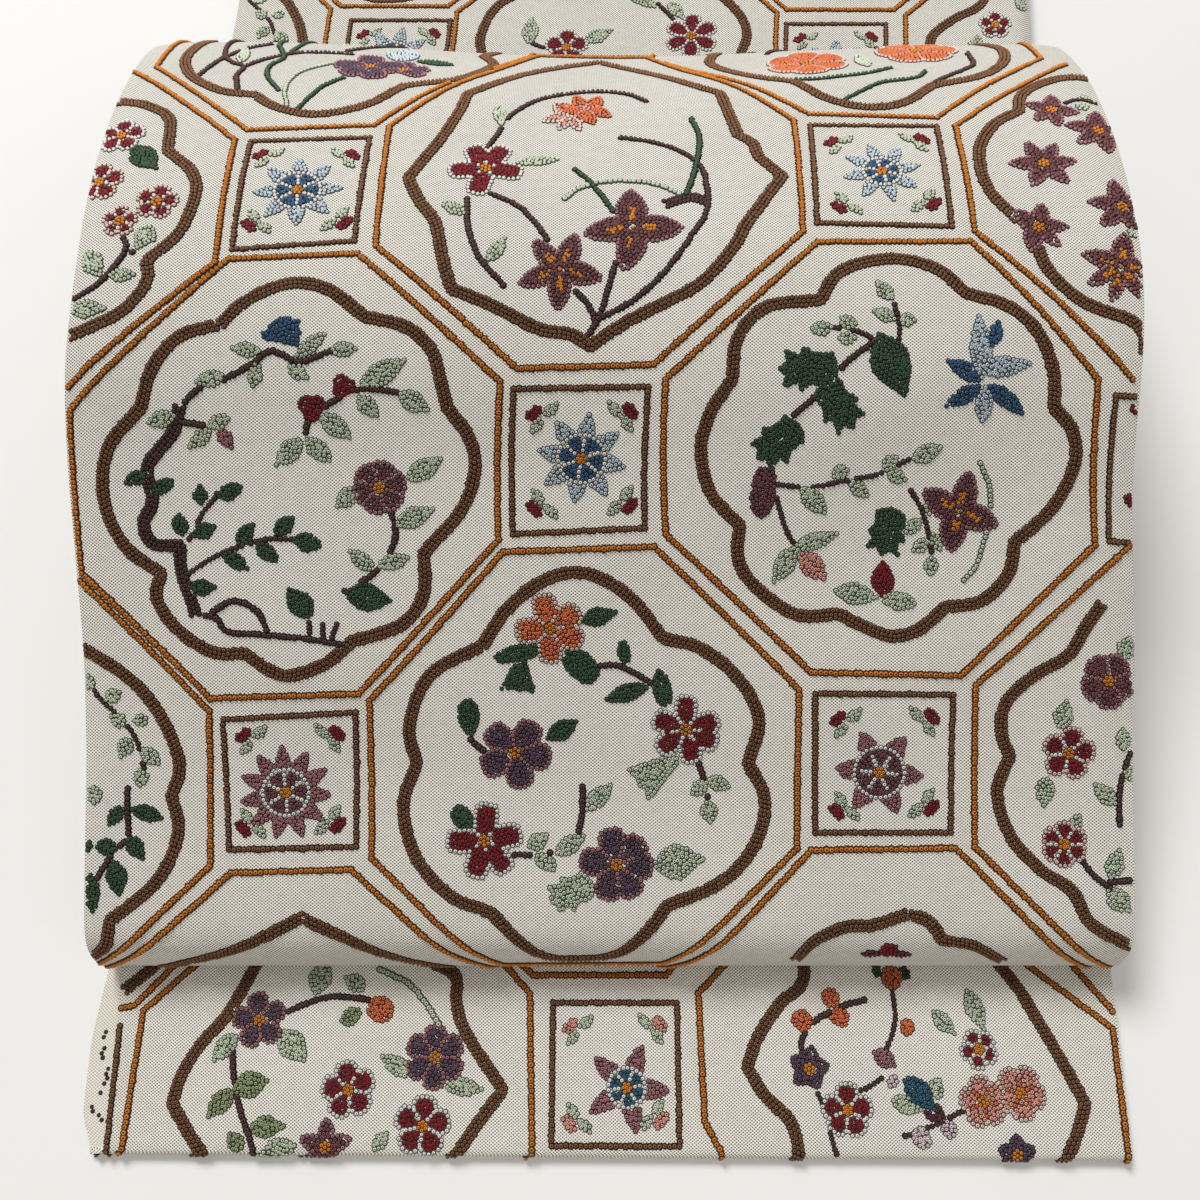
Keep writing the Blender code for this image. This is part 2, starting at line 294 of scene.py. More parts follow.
# %% [markdown]
# ## Creases
# A sash that lies flat still has soft troughs and ridges where it was folded and tied. They could come from a
# cloth simulation, but only a few show, so each is given one by one, and no two are alike. A stretch joins its
# profile, its shifts and its creases. For any place on the band it says where it is, and which way it faces.

# %% Stretches of the band
# Columns: across, along, direction in degrees, length, width, depth (a trough is negative).
DRUM_CREASES = (
    (-60, 232, 12, 190, 17, -0.9), (70, 268, -14, 170, 20, -1.0), (92, 214, -32, 120, 13, 0.7),
    (-96, 290, 24, 120, 15, 0.7), (-20, 330, 4, 230, 18, -0.7), (118, 330, 62, 90, 12, -0.8),
    (-30, 176, -6, 210, 14, 0.5), (40, 70, 9, 180, 15, -0.9), (-90, 52, -13, 130, 12, 0.8),
    (96, 100, 20, 110, 14, 0.7), (-30, 26, 7, 200, 10, -0.6), (88, 40, -11, 120, 9, 0.5),
    (20, 72, 0, 400, 22, -1.8), (-5, 74, 0, 190, 22, -1.9),  # the ridge sags most in its middle
)
REAR_CREASES = ((-40, 60, 8, 190, 11, -0.35), (70, 100, -10, 150, 13, -0.3))
FLAP_CREASES = ((-70, 42, 14, 110, 8, -0.3), (60, 36, -9, 130, 9, -0.25))
STEP = 0.4  # how far apart places are compared, to find which way the cloth faces
BEND_WEIGHT = 9.0  # a radian of bend draws in as many stations as this length


class Stretch:
    """A stretch of the band. Places are arrays of distances across and along it, in millimetres."""

    def __init__(self, name, profile, place, creases):
        self.profile, self.place, self.creases = profile, place, creases
        self.along = np.concatenate([[0.0], np.cumsum(np.linalg.norm(np.diff(profile, axis=0), axis=1))])
        self.length = float(self.along[-1])
        print(name, "stretch:", round(self.length, 1), "mm along the cloth")

    def smooth_point(self, across, along):
        """A place on the stretch before its creases."""
        held = np.clip(along, 0.0, self.length)
        back, height = (np.interp(held, self.along, self.profile[:, axis]) for axis in (0, 1))
        return self.place(across, back, height)

    def slopes(self, point, across, along):
        """The direction that the cloth faces, from four places close by."""
        ahead, behind = np.clip(along + STEP, 0.0, self.length), np.clip(along - STEP, 0.0, self.length)
        right = point(across + STEP, along) - point(across - STEP, along)
        facing = np.cross(point(across, ahead) - point(across, behind), right)
        return facing / np.linalg.norm(facing, axis=-1, keepdims=True)

    def relief(self, across, along):
        """How far the creases lift the cloth. Each fades out over a third of its length at both ends."""
        lift = np.zeros(np.broadcast(across, along).shape)
        for at_across, at_along, direction, length, width, depth in self.creases:
            turn = math.radians(direction)
            x, y = across - at_across, along - at_along
            run = x * math.cos(turn) + y * math.sin(turn)
            aside = y * math.cos(turn) - x * math.sin(turn)
            lift += depth * np.exp(-(aside / width) ** 2) * smooth_step(1.5 - 3.0 * np.abs(run) / length)
        return lift

    def point(self, across, along):
        facing = self.slopes(self.smooth_point, across, along)
        return self.smooth_point(across, along) + facing * self.relief(across, along)[..., None]

    def facing(self, across, along):
        return self.slopes(self.point, across, along)

    def stations(self, count):
        """count + 1 distances along the stretch, closer together where it bends sharply."""
        steps = np.diff(self.profile, axis=0)
        headings = np.unwrap(np.arctan2(steps[:, 1], steps[:, 0]))
        bends = np.abs(np.diff(headings, prepend=headings[0]))
        weights = np.concatenate([[0.0], np.cumsum(np.diff(self.along) + BEND_WEIGHT * bends)])
        return np.interp(np.linspace(0.0, weights[-1], count + 1), weights, self.along)


drum_rows = np.array([DRUM_SECTIONS[0], *DRUM_SECTIONS, DRUM_SECTIONS[-1]])
rear = Stretch("rear", rear_profile(), rear_place, REAR_CREASES)
drum = Stretch("drum", smooth_curve(drum_rows, PROFILE_STEPS), drum_place, DRUM_CREASES)
flap = Stretch("flap", flap_profile(), flap_place, FLAP_CREASES)


def in_row(points):
    """Points in the band's millimetres as metres in the row frame."""
    return (np.asarray(points) + (*FOLD_AT, 0.0)) * MM


def finish_mesh(name, form):
    """Writes a bmesh form to a new mesh."""
    mesh = bpy.data.meshes.new(name)
    form.to_mesh(mesh)
    form.free()
    return mesh


# %% [markdown]
# ## Floor and light
# The floor is one plain pale square, which isn't part of the sash. Daylight from a
# window is wide and soft, so a large area lamp stands at the back left, a weaker one fills in from the front
# right, and a pale sky lights the rest. A few large lamps look calmer than many small ones.

# %% Floor and light
FLOOR_HALF, LAMP_SIZE = 2.0, 1.4  # metres
# Columns: name, place, power in watts. Every lamp is aimed at the middle of the sash.
LAMPS = (("window", (-1.1, 2.1, 2.8), 98.0), ("fill", (0.9, -0.9, 1.1), 2.0))
SKY_COLOUR, SKY_STRENGTH = (1.0, 0.96, 0.9, 1.0), 0.42


def paint_floor():
    """A matt pale floor with faint clouds."""
    nodes = Nodes("pale_floor")
    cloud = nodes.noise(nodes.add("ShaderNodeTexCoord", output="Object"), 3.0, 3.0)
    shade = nodes.ramp(cloud, (0.3, shown_colour(240, 240, 239)), (0.7, shown_colour(244, 244, 243)))
    return nodes.finish(Base_Color=shade, Roughness=0.6 + 0.1 * cloud)


floor_form = bmesh.new()
bmesh.ops.create_grid(floor_form, x_segments=8, y_segments=8, size=FLOOR_HALF)
floor = place_object("floor", finish_mesh("floor", floor_form))
floor.data.materials.append(paint_floor())

for name, place, power in LAMPS:
    lamp_data = bpy.data.lights.new(name, "AREA")
    lamp_data.shape, lamp_data.size, lamp_data.energy = "DISK", LAMP_SIZE, power
    lamp = place_object(name, lamp_data)
    lamp.location = place
    lamp.rotation_euler = (-Vector(place)).to_track_quat("-Z", "Y").to_euler()
sky = bpy.data.worlds.new("sky")
sky.use_nodes = True
sky_light = sky.node_tree.nodes["Background"].inputs
sky_light["Color"].default_value, sky_light["Strength"].default_value = SKY_COLOUR, SKY_STRENGTH
bpy.context.scene.world = sky
bpy.context.scene.view_settings.view_transform = "Standard"

# %% [markdown]
# ## The silk
# The face of the sash is a thick ivory twill: fine slanting ribs, each a row of short floats. Threads that
# small could be a picture, but waves in the cloth's own millimetres stay sharp and bend with the cloth. So
# every band has a UV map named "cloth", which the material turns back into millimetres. Seams and the pile of
# plies have no flat map, so there the same weave reads the place in space. Noise thickens a few threads.

# %% Silk materials
RIB_PITCH = 0.70  # from one slanting rib to the next
FLOAT_PITCH = 0.72  # from one float to the next, across the ribs
RIB_SLANT = 40.0  # degrees that the ribs rise to the right
SLUB_SHIFT = 3.0  # how far a thick thread pushes its neighbours, in radians of the wave
# The pale colour is the silk on its threads. The shade colour is painted shade in the gaps between them.
IVORY, IVORY_SHADE = shown_colour(246, 244, 235), shown_colour(92, 86, 75)
LINING_PALE, LINING_SHADE = shown_colour(240, 237, 227), shown_colour(176, 169, 156)
WEAVE_DEPTH, LINING_DEPTH = 0.22, 0.16
THREAD_RISE, SLUB_RISE, MEAN_RISE = 0.28, 0.14, 0.46  # shares of that depth
CLOUD = 0.1  # how much the slow clouds of colour add
SLUB_NOISE, CLOUD_NOISE = (0.35, 4.0), (0.02, 2.0)  # scale for each millimetre, detail
SHADE_BELOW, PALE_ABOVE = 0.2, 0.6  # the relief where the colour stops changing


def wave(across, along, angle, pitch, shift):
    """A sine wave of that pitch in millimetres that runs at an angle to the cloth's width."""
    turn, step = math.radians(angle), 2.0 * math.pi / pitch
    phase = across * (math.cos(turn) * step) + along * (math.sin(turn) * step) + shift
    return phase.maths("SINE", phase)


def scaled_place(nodes, source, scale):
    """A vector in millimetres and its three numbers."""
    place = nodes.add("ShaderNodeVectorMath", {"operation": "SCALE"}, {0: source, "Scale": scale})
    return place, *(nodes.add("ShaderNodeSeparateXYZ", None, {"Vector": place}, axis) for axis in "XYZ")


def flat_places(nodes):
    """The place on the flat cloth: a vector, the distance across and the distance along."""
    return scaled_place(nodes, nodes.add("ShaderNodeUVMap", {"uv_map": "cloth"}), BAND_WIDTH)[:3]


def solid_places(nodes):
    """The same for a form with no flat map: the weave runs along the row's axes, and on up its sides."""
    place, x, y, z = scaled_place(nodes, nodes.add("ShaderNodeTexCoord", output="Object"), 1.0 / MM)
    return place, x + z, y + z


def paint_silk(name, places, pale, shade, slant, depth):
    """Ribs and floats as bump, with painted shade in the gaps between threads, a few thick threads and soft
    clouds of colour.
    """
    nodes = Nodes(name)
    place, across, along = places(nodes)
    slub, cloud = nodes.noise(place, *SLUB_NOISE), nodes.noise(place, *CLOUD_NOISE)
    rib = wave(across, along, slant + 90.0, RIB_PITCH, slub * SLUB_SHIFT)
    floats = wave(across, along, 90.0 - slant, FLOAT_PITCH, slub * SLUB_SHIFT)
    relief = rib * THREAD_RISE + floats * THREAD_RISE + slub * SLUB_RISE + MEAN_RISE
    # The lower the relief, the darker the colour: painted shade in the gaps of the weave.
    colour = nodes.ramp(relief + cloud * CLOUD - CLOUD / 2.0, (SHADE_BELOW, shade), (PALE_ABOVE, pale))
    bump = nodes.add("ShaderNodeBump", None, {"Height": relief, "Strength": 0.55, "Distance": depth * MM})
    return nodes.finish(Base_Color=colour, Roughness=0.9 - 0.1 * relief, Sheen_Weight=0.05,
                        Sheen_Roughness=0.4, Specular_IOR_Level=0.1, Normal=bump)


twill = paint_silk("ivory_twill_silk", flat_places, IVORY, IVORY_SHADE, RIB_SLANT, WEAVE_DEPTH)
lining = paint_silk("plain_lining_silk", flat_places, LINING_PALE, LINING_SHADE, -RIB_SLANT, LINING_DEPTH)
edge_silk = paint_silk("folded_silk", solid_places, IVORY, IVORY_SHADE, RIB_SLANT, WEAVE_DEPTH)
print("silk:", twill.name, lining.name, edge_silk.name)

# %% [markdown]
# ## The three stretches of cloth
# Each stretch is a thin lined band with seams at its two long edges. It could be simulated, but the folds of a
# laid sash are few and known. So a flat grid is bent: each of its corners becomes a place on the band. The
# Solidify modifier gives it the wall of face cloth, core and lining, and Bevel rounds the sewn rim. The UV map
# keeps each corner's place on the flat cloth.

# %% Cloth walls
ACROSS_SQUARES = 96
RIM_ROUND = 0.85  # radius of the seam's edge
RIM_ANGLE = 50.0  # only edges sharper than this are rounded
# Columns: piece, the node it stands for, its form, squares along it.
WALLS = (("rear_cloth", "rear_stretch", rear, 56), ("drum_cloth", "drum_stretch", drum, 170),
         ("flap_cloth", "tare_flap", flap, 60))


def spread_across(share):
    """Distance from the band's middle for a share from -1 to 1, closer together at the edges."""
    return HALF_WIDTH * (3.0 * share - share ** 3) / 2.0


def add_piece(name, mesh, *materials):
    """A finished mesh as a piece that rides on the sash."""
    for material in materials:
        mesh.materials.append(material)
    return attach(place_object(name, mesh), "root")


def stand_for(piece, node):
    """The piece replaces a solid of the frame, which is hidden."""
    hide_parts(node)
    print(piece.name, "faces:", len(piece.data.polygons))
    return piece


def cloth_wall(name, stretch, squares):
    """A stretch of band: a grid bent along its profile, face side out, thickened inwards."""
    course = stretch.stations(squares)
    form = bmesh.new()
    bmesh.ops.create_grid(form, x_segments=ACROSS_SQUARES, y_segments=squares, size=1.0)
    across = np.array([spread_across(v.co.x) for v in form.verts])
    along = np.array([course[round((1.0 - v.co.y) / 2.0 * squares)] for v in form.verts])
    for vertex, place in zip(form.verts, in_row(stretch.point(across, along))):
        vertex.co = place
    flat_place = form.loops.layers.uv.new("cloth")
    for face in form.faces:
        face.smooth = True
        for loop in face.loops:
            index = loop.vert.index
            loop[flat_place].uv = (across[index] / BAND_WIDTH + 0.5, along[index] / BAND_WIDTH)
    wall = add_piece(name, finish_mesh(name, form), twill, lining, edge_silk)
    thickness = wall.modifiers.new("wall", "SOLIDIFY")
    thickness.thickness, thickness.offset, thickness.use_even_offset = PLY * MM, -1.0, True
    thickness.material_offset, thickness.material_offset_rim = 1, 2
    rim = wall.modifiers.new("seam edge", "BEVEL")
    rim.width, rim.segments = RIM_ROUND * MM, 3
    rim.limit_method, rim.angle_limit = "ANGLE", math.radians(RIM_ANGLE)
    bpy.context.view_layer.update()
    graph = bpy.context.evaluated_depsgraph_get()
    made = bpy.data.meshes.new_from_object(wall.evaluated_get(graph), depsgraph=graph)
    wall.modifiers.clear()
    wall.data = made
    return wall


rear_cloth, drum_cloth, flap_cloth = [stand_for(cloth_wall(name, stretch, squares), node)
                                      for name, node, stretch, squares in WALLS]

# %% [markdown]
# ## The folded length below
# Most of the sash lies hidden in a pile of pressed plies. Sheet upon sheet would be true, but nobody sees
# between them, so the pile is one closed form whose sides show each ply's round fold. One outline is drawn
# for each level, and each level is extruded from the one below.

# %% Folded plies
FOLDED_PLY, INNER_PLY = 1.35, 1.8  # the inner ones are the drum's hidden return and the flap's hidden start
# Columns: how far each ply's sides and its back end lie further in than the pile's.
FOLDED_PLIES = ((0.0, 1.6), (1.3, 1.6), (0.5, 0.2), (1.6, 0.2), (0.2, 1.1), (1.1, 12.2), (0.6, 12.2))
INNER_PLIES = ((1.6, 157.0), (2.6, 157.0))
# The round fold of a ply. Columns: share of its thickness, how far in.
PLY_ROUND = ((0.12, 0.45), (0.3, 0.12), (0.5, 0.0), (0.7, 0.12), (0.88, 0.45), (1.0, 0.85))
FOOT_ROUND = 0.6  # the lowest edge
LEDGE_STEP = 0.5  # how much further back a shorter ply starts
PILE_INSET, PILE_CORNER = 8.0, 5.0  # of its sides, and the radius of its corners in plan
PILE_FRONT, PILE_SHIFT = 18.6, -7.5  # where it starts, and how far to the side
PILE_LEAN, LEAN_START = 1.9, 6.0  # the front leans back this much for each millimetre above that height
PILE_SHEAR = 16.0 / (REAR_END - PILE_FRONT)  # how far the pile runs to the right as it goes back
SIDE_SQUARES, END_SQUARES, CORNER_SQUARES = 60, 44, 5
PILE_SHARP = 60.0  # degrees between faces from which an edge stays sharp


def pile_outline(front, back_end, side):
    """One level in plan: a rectangle with round corners, sheared along its centre line."""
    half = HALF_WIDTH - side - PILE_CORNER
    front, back_end = front + PILE_CORNER, back_end - PILE_CORNER
    corners = ((-half, front, 180.0), (half, front, 270.0), (half, back_end, 0.0), (-half, back_end, 90.0))
    arcs = [arc_points((across, back), PILE_CORNER, start, start + 90.0, CORNER_SQUARES)
            for across, back, start in corners]
    rows = []
    for index, arc in enumerate(arcs):
        squares = SIDE_SQUARES if index % 2 else END_SQUARES
        rows += [arc, np.linspace(arc[-1], arcs[(index + 1) % 4][0], squares + 1)[1:-1]]
    outline = np.concatenate(rows)
    outline[:, 0] += PILE_SHIFT + PILE_SHEAR * (outline[:, 1] - PILE_FRONT)
    return outline


def pile_levels():
    """Height, front, back end and side inset of each outline, from the bottom up."""
    plies = [(FOLDED_PLY, *row) for row in FOLDED_PLIES] + [(INNER_PLY, *row) for row in INNER_PLIES]
    bottom, step, below = 0.0, 0.0, plies[0][2]
    levels = [(0.0, 0.0, below + FOOT_ROUND, plies[0][1] + FOOT_ROUND)]
    for thickness, side, back_inset in plies:
        if back_inset > below + PILE_CORNER:
            step += LEDGE_STEP
            levels.append((bottom, step, back_inset, side))
        levels += [(bottom + share * thickness, step, back_inset + round_in, side + round_in)
                   for share, round_in in PLY_ROUND]
        bottom += thickness
        below = back_inset
    return [(height, PILE_FRONT + step + PILE_LEAN * max(0.0, height - LEAN_START),
             REAR_END - inset, PILE_INSET + side) for height, step, inset, side in levels]


def folded_pile(name):
    """A face is filled in the lowest outline, and extruded to every other one."""
    form = bmesh.new()
    number = form.verts.layers.int.new("number")
    top = None
    for height, front, back_end, side in pile_levels():
        outline = pile_outline(front, back_end, side)
        if top is None:
            row = [form.verts.new((*point, 0.0)) for point in outline]
            for index, vertex in enumerate(row):
                vertex[number] = index
            top = bottom = form.faces.new(row)
        else:
            grown = bmesh.ops.extrude_face_region(form, geom=[top])
            if top is not bottom:
                bmesh.ops.delete(form, geom=[top], context="FACES_ONLY")
            top = next(item for item in grown["geom"] if isinstance(item, bmesh.types.BMFace))
        for vertex in top.verts:
            vertex.co = in_row((*outline[vertex[number]], height))
    bmesh.ops.recalc_face_normals(form, faces=form.faces)
    mesh = finish_mesh(name, form)
    mesh.shade_smooth()
    mesh.set_sharp_from_angle(angle=math.radians(PILE_SHARP))
    return mesh


folded_cloth = stand_for(add_piece("folded_cloth", folded_pile("folded_cloth"), edge_silk), "folded_layers")

# %% [markdown]
# ## Threads and knots
# Every line, leaf and petal on this silk is made of one stitch: a small round knot with a hole in its
# middle, set close to the next. A bump map would look flat from the side, so each knot is real geometry.
# One knot is modelled with bmesh: a six-sided pad of the thread, painted dark as the shade round and between
# the knots, and on it a ring whose wall is drawn up and in, with its top poked and pushed down into a hole.
# Thousands of copies must stay light, so it has a few faces only. Painted light and shade on its corners does
# the rest: painted shade on the pad, at the foot and in the hole, and a painted highlight on the ring.

# %% Threads and the knot
KNOT_PITCH = 1.32  # from one knot to the next in a row of a wide line
FILL_PITCH = 1.20  # between knots packed side by side
KEEP_APART = 0.782  # the least between two knots where shapes meet
THREADS = {  # screen colours
    "ochre": (176, 107, 34), "brown": (114, 79, 53), "bark": (78, 54, 48), "forest": (56, 82, 56),
    "sage": (178, 190, 165), "olive": (136, 146, 108), "crimson": (120, 30, 38), "white": (255, 249, 234),
    "blush": (236, 184, 172), "mauve": (148, 101, 104), "plum": (88, 68, 84), "umber": (106, 66, 70),
    "coral": (204, 104, 64), "rose": (212, 142, 128), "mist": (176, 192, 204), "denim": (54, 88, 120),
    "teal": (44, 88, 110), "gold": (202, 122, 34), "lilac": (204, 180, 186), "wine": (88, 48, 54),
}
THREAD_NAMES = sorted(THREADS)
# How light each ring is, is painted light and shade: the pad, the ring's foot and the hole are painted shade,
# the ring's crest is a painted highlight.
KNOT_SHADE_PAD = (0.88, 0.06, 0.12)  # radius, height, how light
KNOT_RING = ((0.60, 0.02, -0.2), (0.35, 0.64, 2.3))
KNOT_HOLE = (-0.25, -1.2)  # height of the hole's tip, how light
KNOT_SIDES = 6
KNOT_SUNK = 0.02  # how deep a knot sits in the cloth


def knot_form():
    """One knot as arrays: its corners, the painted light and shade of each, and its faces."""
    form = bmesh.new()
    shade = form.verts.layers.float.new("shade")
    rings = []
    for (radius, height, light), filled in zip((KNOT_SHADE_PAD, *KNOT_RING), (True, False, False)):
        ring = bmesh.ops.create_circle(form, cap_ends=filled, segments=KNOT_SIDES, radius=radius)["verts"]
        for vertex in ring:
            vertex.co.z, vertex[shade] = height, light
        rings.append({edge for vertex in ring for edge in vertex.link_edges})
    bmesh.ops.bridge_loops(form, edges=[*rings[1], *rings[2]])
    top = bmesh.ops.contextual_create(form, geom=list(rings[2]))["faces"]
    hole = bmesh.ops.poke(form, faces=top)["verts"][0]
    hole.co.z, hole[shade] = KNOT_HOLE
    for face in form.faces:  # the wall faces outwards, the rest upwards
        face.normal_update()
        outward = face.calc_center_median().xy.to_3d() + Vector((0.0, 0.0, 0.5))
        if face.normal.z < 0.0 or (len(face.verts) == 4 and face.normal.dot(outward) < 0.0):
            face.normal_flip()
    form.verts.index_update()
    corners = np.array([v.co[:] for v in form.verts])
    light = np.array([v[shade] for v in form.verts])
    faces = [[v.index for v in face.verts] for face in form.faces]
    form.free()
    return corners, light, faces


CORNERS, PAINTED_CORNER_LIGHT, KNOT_FACES = knot_form()
print("one knot:", len(CORNERS), "corners,", sum(len(face) - 2 for face in KNOT_FACES), "triangles")

# %% [markdown]
# ## Thread material
# The thread is soft matt silk. Each knot carries its colour, with its painted light and shade, as an attribute
# on its corners, so one material dyes every motif. The painted highlight on the ring goes past white and the
# painted shade in the hole below black, so that the change between them is steep. The material holds both
# within what a thread can be. Fine noise adds the twist of the yarn.

# %% Thread material
DARKEST, LIGHTEST = (0.008, 0.006, 0.005), (1.0, 1.0, 1.0)
FIBRE_SHADE = (0.78, 0.78, 0.78)
FIBRE_NOISE, FIBRE_DEPTH = (2600.0, 2.0), 0.1  # scale for each metre and detail, depth in millimetres
# Random differences between knots: place in millimetres, size and colour as shares.
LOOSE_PLACE, LOOSE_SIZE, LOOSE_DYE = 0.07, 0.05, 0.07
ASIDE_FROM = (0.0, -1.0, 0.15)  # before it is turned, a knot's right is square to this
CELL_SHARE = 0.46  # the half width of a knot in its own square of the bake map


def paint_thread():
    """The knot's dye with its painted light and shade, held within what a thread can be, with the fine twist
    of the yarn.
    """
    nodes = Nodes("knotted_thread")
    dye_with_painted_light = nodes.add("ShaderNodeAttribute", {"attribute_name": "thread"}, output="Color")
    for operation, limit in (("MAXIMUM", DARKEST), ("MINIMUM", LIGHTEST)):
        dye_with_painted_light = nodes.add("ShaderNodeVectorMath", {"operation": operation}, {0: dye_with_painted_light, 1: limit})
    fibre = nodes.noise(nodes.add("ShaderNodeTexCoord", output="Object"), *FIBRE_NOISE)
    colour = nodes.add("ShaderNodeMix", {"data_type": "RGBA", "blend_type": "MULTIPLY"}, {
        "Factor": 1.0, "A": dye_with_painted_light, "B": nodes.ramp(fibre, (0.3, FIBRE_SHADE), (0.7, LIGHTEST))}, "Result")
    bump = nodes.add("ShaderNodeBump", None, {"Height": fibre, "Strength": 0.4, "Distance": FIBRE_DEPTH * MM})
    return nodes.finish(Base_Color=colour, Roughness=0.6 + 0.2 * fibre, Sheen_Weight=0.04,
                        Sheen_Roughness=0.4, Specular_IOR_Level=0.25, Normal=bump)


thread_material = paint_thread()


def join_knots(name, stretch, across, along, threads, sizes, seed):
    """Copies the knot to every place on the stretch, and joins the copies as one piece."""
    chance = np.random.default_rng(seed)
    count, corners = len(across), len(CORNERS)
    across = across + chance.normal(0.0, LOOSE_PLACE, count)
    along = along + chance.normal(0.0, LOOSE_PLACE, count)
    facing = stretch.facing(across, along)
    foot = stretch.point(across, along) - KNOT_SUNK * facing
    right = np.cross(facing, ASIDE_FROM)
    right /= np.linalg.norm(right, axis=1, keepdims=True)
    turn = chance.uniform(0.0, 2.0 * np.pi, count)[:, None]
    side = right * np.cos(turn) + np.cross(facing, right) * np.sin(turn)
    front = np.cross(facing, side)
    scale = (sizes * chance.normal(1.0, LOOSE_SIZE, count))[:, None, None]
    x, y, z = (CORNERS[None, :, axis, None] for axis in range(3))
    points = foot[:, None] + scale * (x * side[:, None] + y * front[:, None] + z * facing[:, None])
    faces = [[index + corners * copy for index in face] for copy in range(count) for face in KNOT_FACES]
    mesh = bpy.data.meshes.new(name)
    mesh.from_pydata(in_row(points.reshape(-1, 3)), [], faces)
    mesh.shade_smooth()
    dyes = np.array([shown_colour(*THREADS[thread]) for thread in THREAD_NAMES])[threads]
    dyes = dyes * chance.normal(1.0, LOOSE_DYE, count)[:, None]
    # Each corner's colour is the knot's dye times its painted light and shade.
    colours = np.ones((count, corners, 4))
    colours[:, :, :3] = dyes[:, None] * PAINTED_CORNER_LIGHT[None, :, None]
    mesh.color_attributes.new("thread", "FLOAT_COLOR", "POINT").data.foreach_set("color", colours.ravel())
    # Every knot has its own square in the map that the export bakes.
    cells = math.ceil(math.sqrt(count))
    corner_of_loop = np.zeros(len(mesh.loops), dtype=np.int32)
    mesh.loops.foreach_get("vertex_index", corner_of_loop)
    knot, corner = np.divmod(corner_of_loop, corners)
    inside = CORNERS[corner, :2] / KNOT_SHADE_PAD[0] * CELL_SHARE + 0.5
    bake = (np.stack([knot % cells, knot // cells], axis=1) + inside) / cells
    # Every knot has its own square in a map named OFBake.
    mesh.uv_layers.new(name="OFBake").data.foreach_set("uv", bake.ravel())
    return add_piece(name, mesh, thread_material)


# %% [markdown]
# ## Lines and fills
# An embroiderer draws a shape, lays knots along its outline and then packs the inside. The helpers here do
# the same on the flat band, in millimetres. A line is a smooth curve with knots at even steps, and a wide
# line has three rows of them. A fill is packed from its edge inwards, ring by ring, and the holes that are
# left are filled with knots a little closer together. A knot that would land on another one is left out,
# so what is drawn first lies in front.

# %% Drawing with knots
CURVE_STEPS = 8
ROW_STEP = 1.18  # between the rows of a wide line
FILL_GRID = 0.24  # candidates for a fill are this far apart
RING_DEPTH = 0.3  # candidates in the same ring differ by less than this
FILL_INSET = 0.42  # the least distance from a fill's outline
FILL_CLEAR = 0.94  # share of the pitch kept from knots already laid
CLOSER = (1.0, 0.76, 0.66)  # shares of the pitch, from the first round of packing to the last
SEAM_ALLOWANCE = 0.8  # no knots nearer to the long edges
LOOK_ROUND = 2.0  # knots further off can't touch
TINY = 1e-9  # keeps divisions finite
NOTHING = np.zeros((0, 2))


def as_pairs(numbers):
    """A row of numbers as x, y pairs."""
    return np.array(numbers, float).reshape(-1, 2)


def curve(points):
    """A smooth curve through a short row of x, y pairs."""
    rows = as_pairs(points)
    if len(rows) == 2:
        return rows
    return smooth_curve(np.array([2 * rows[0] - rows[1], *rows, 2 * rows[-1] - rows[-2]]), CURVE_STEPS)


def even_steps(line, pitch, start=0.0):
    """Points along a line at even steps: from end to end, or with a start of 0.5 half a step in."""
    run = np.concatenate([[0.0], np.cumsum(np.linalg.norm(np.diff(line, axis=0), axis=1))])
    count = max(1, round(run[-1] / pitch))
    marks = (np.arange(count + (start == 0.0)) + start) * (run[-1] / count)
    return np.stack([np.interp(marks, run, line[:, axis]) for axis in (0, 1)], axis=1)


def beside(line, offset):
    """The line moved to its left."""
    ahead = np.gradient(line, axis=0)
    ahead /= np.maximum(np.linalg.norm(ahead, axis=1, keepdims=True), TINY)
    return line + offset * np.stack([-ahead[:, 1], ahead[:, 0]], axis=1)


def three_rows(line):
    """A wide line: three rows of knots side by side. The middle row starts half a step on."""
    return np.concatenate([even_steps(beside(line, side * ROW_STEP), KNOT_PITCH, start)
                           for side, start in ((-1.0, 0.0), (0.0, 0.5), (1.0, 0.0))])


def edge_distance(points, outline):
    """How far each point is from a closed outline: positive inside, negative outside."""
    start, end = outline, np.roll(outline, -1, axis=0)
    run = end - start
    gap = points[:, None] - start
    share = np.clip((gap * run).sum(-1) / np.maximum((run * run).sum(-1), TINY), 0.0, 1.0)
    away = np.linalg.norm(gap - share[..., None] * run, axis=-1).min(axis=1)
    above = (start[:, 1] > points[:, None, 1]) != (end[:, 1] > points[:, None, 1])
    rise = np.where(np.abs(run[:, 1]) < TINY, TINY, run[:, 1])
    crossing = start[:, 0] + (points[:, None, 1] - start[:, 1]) * run[:, 0] / rise
    inside = (above & (points[:, None, 0] < crossing)).sum(axis=1) % 2 == 1
    return np.where(inside, away, -away)


def clear_of(points, taken, gap):
    """Which points keep their distance from those taken."""
    if not len(taken) or not len(points):
        return np.ones(len(points), bool)
    return np.linalg.norm(points[:, None] - taken[None], axis=-1).min(axis=1) > gap


def spread_out(points, gap):
    """Takes the first point, drops all that are too near to it, and so on. Gives what was taken."""
    left, kept = np.arange(len(points)), []
    while len(left):
        kept.append(left[0])
        left = left[np.linalg.norm(points[left] - points[left[0]], axis=1) >= gap]
    return np.array(kept, dtype=np.int64)


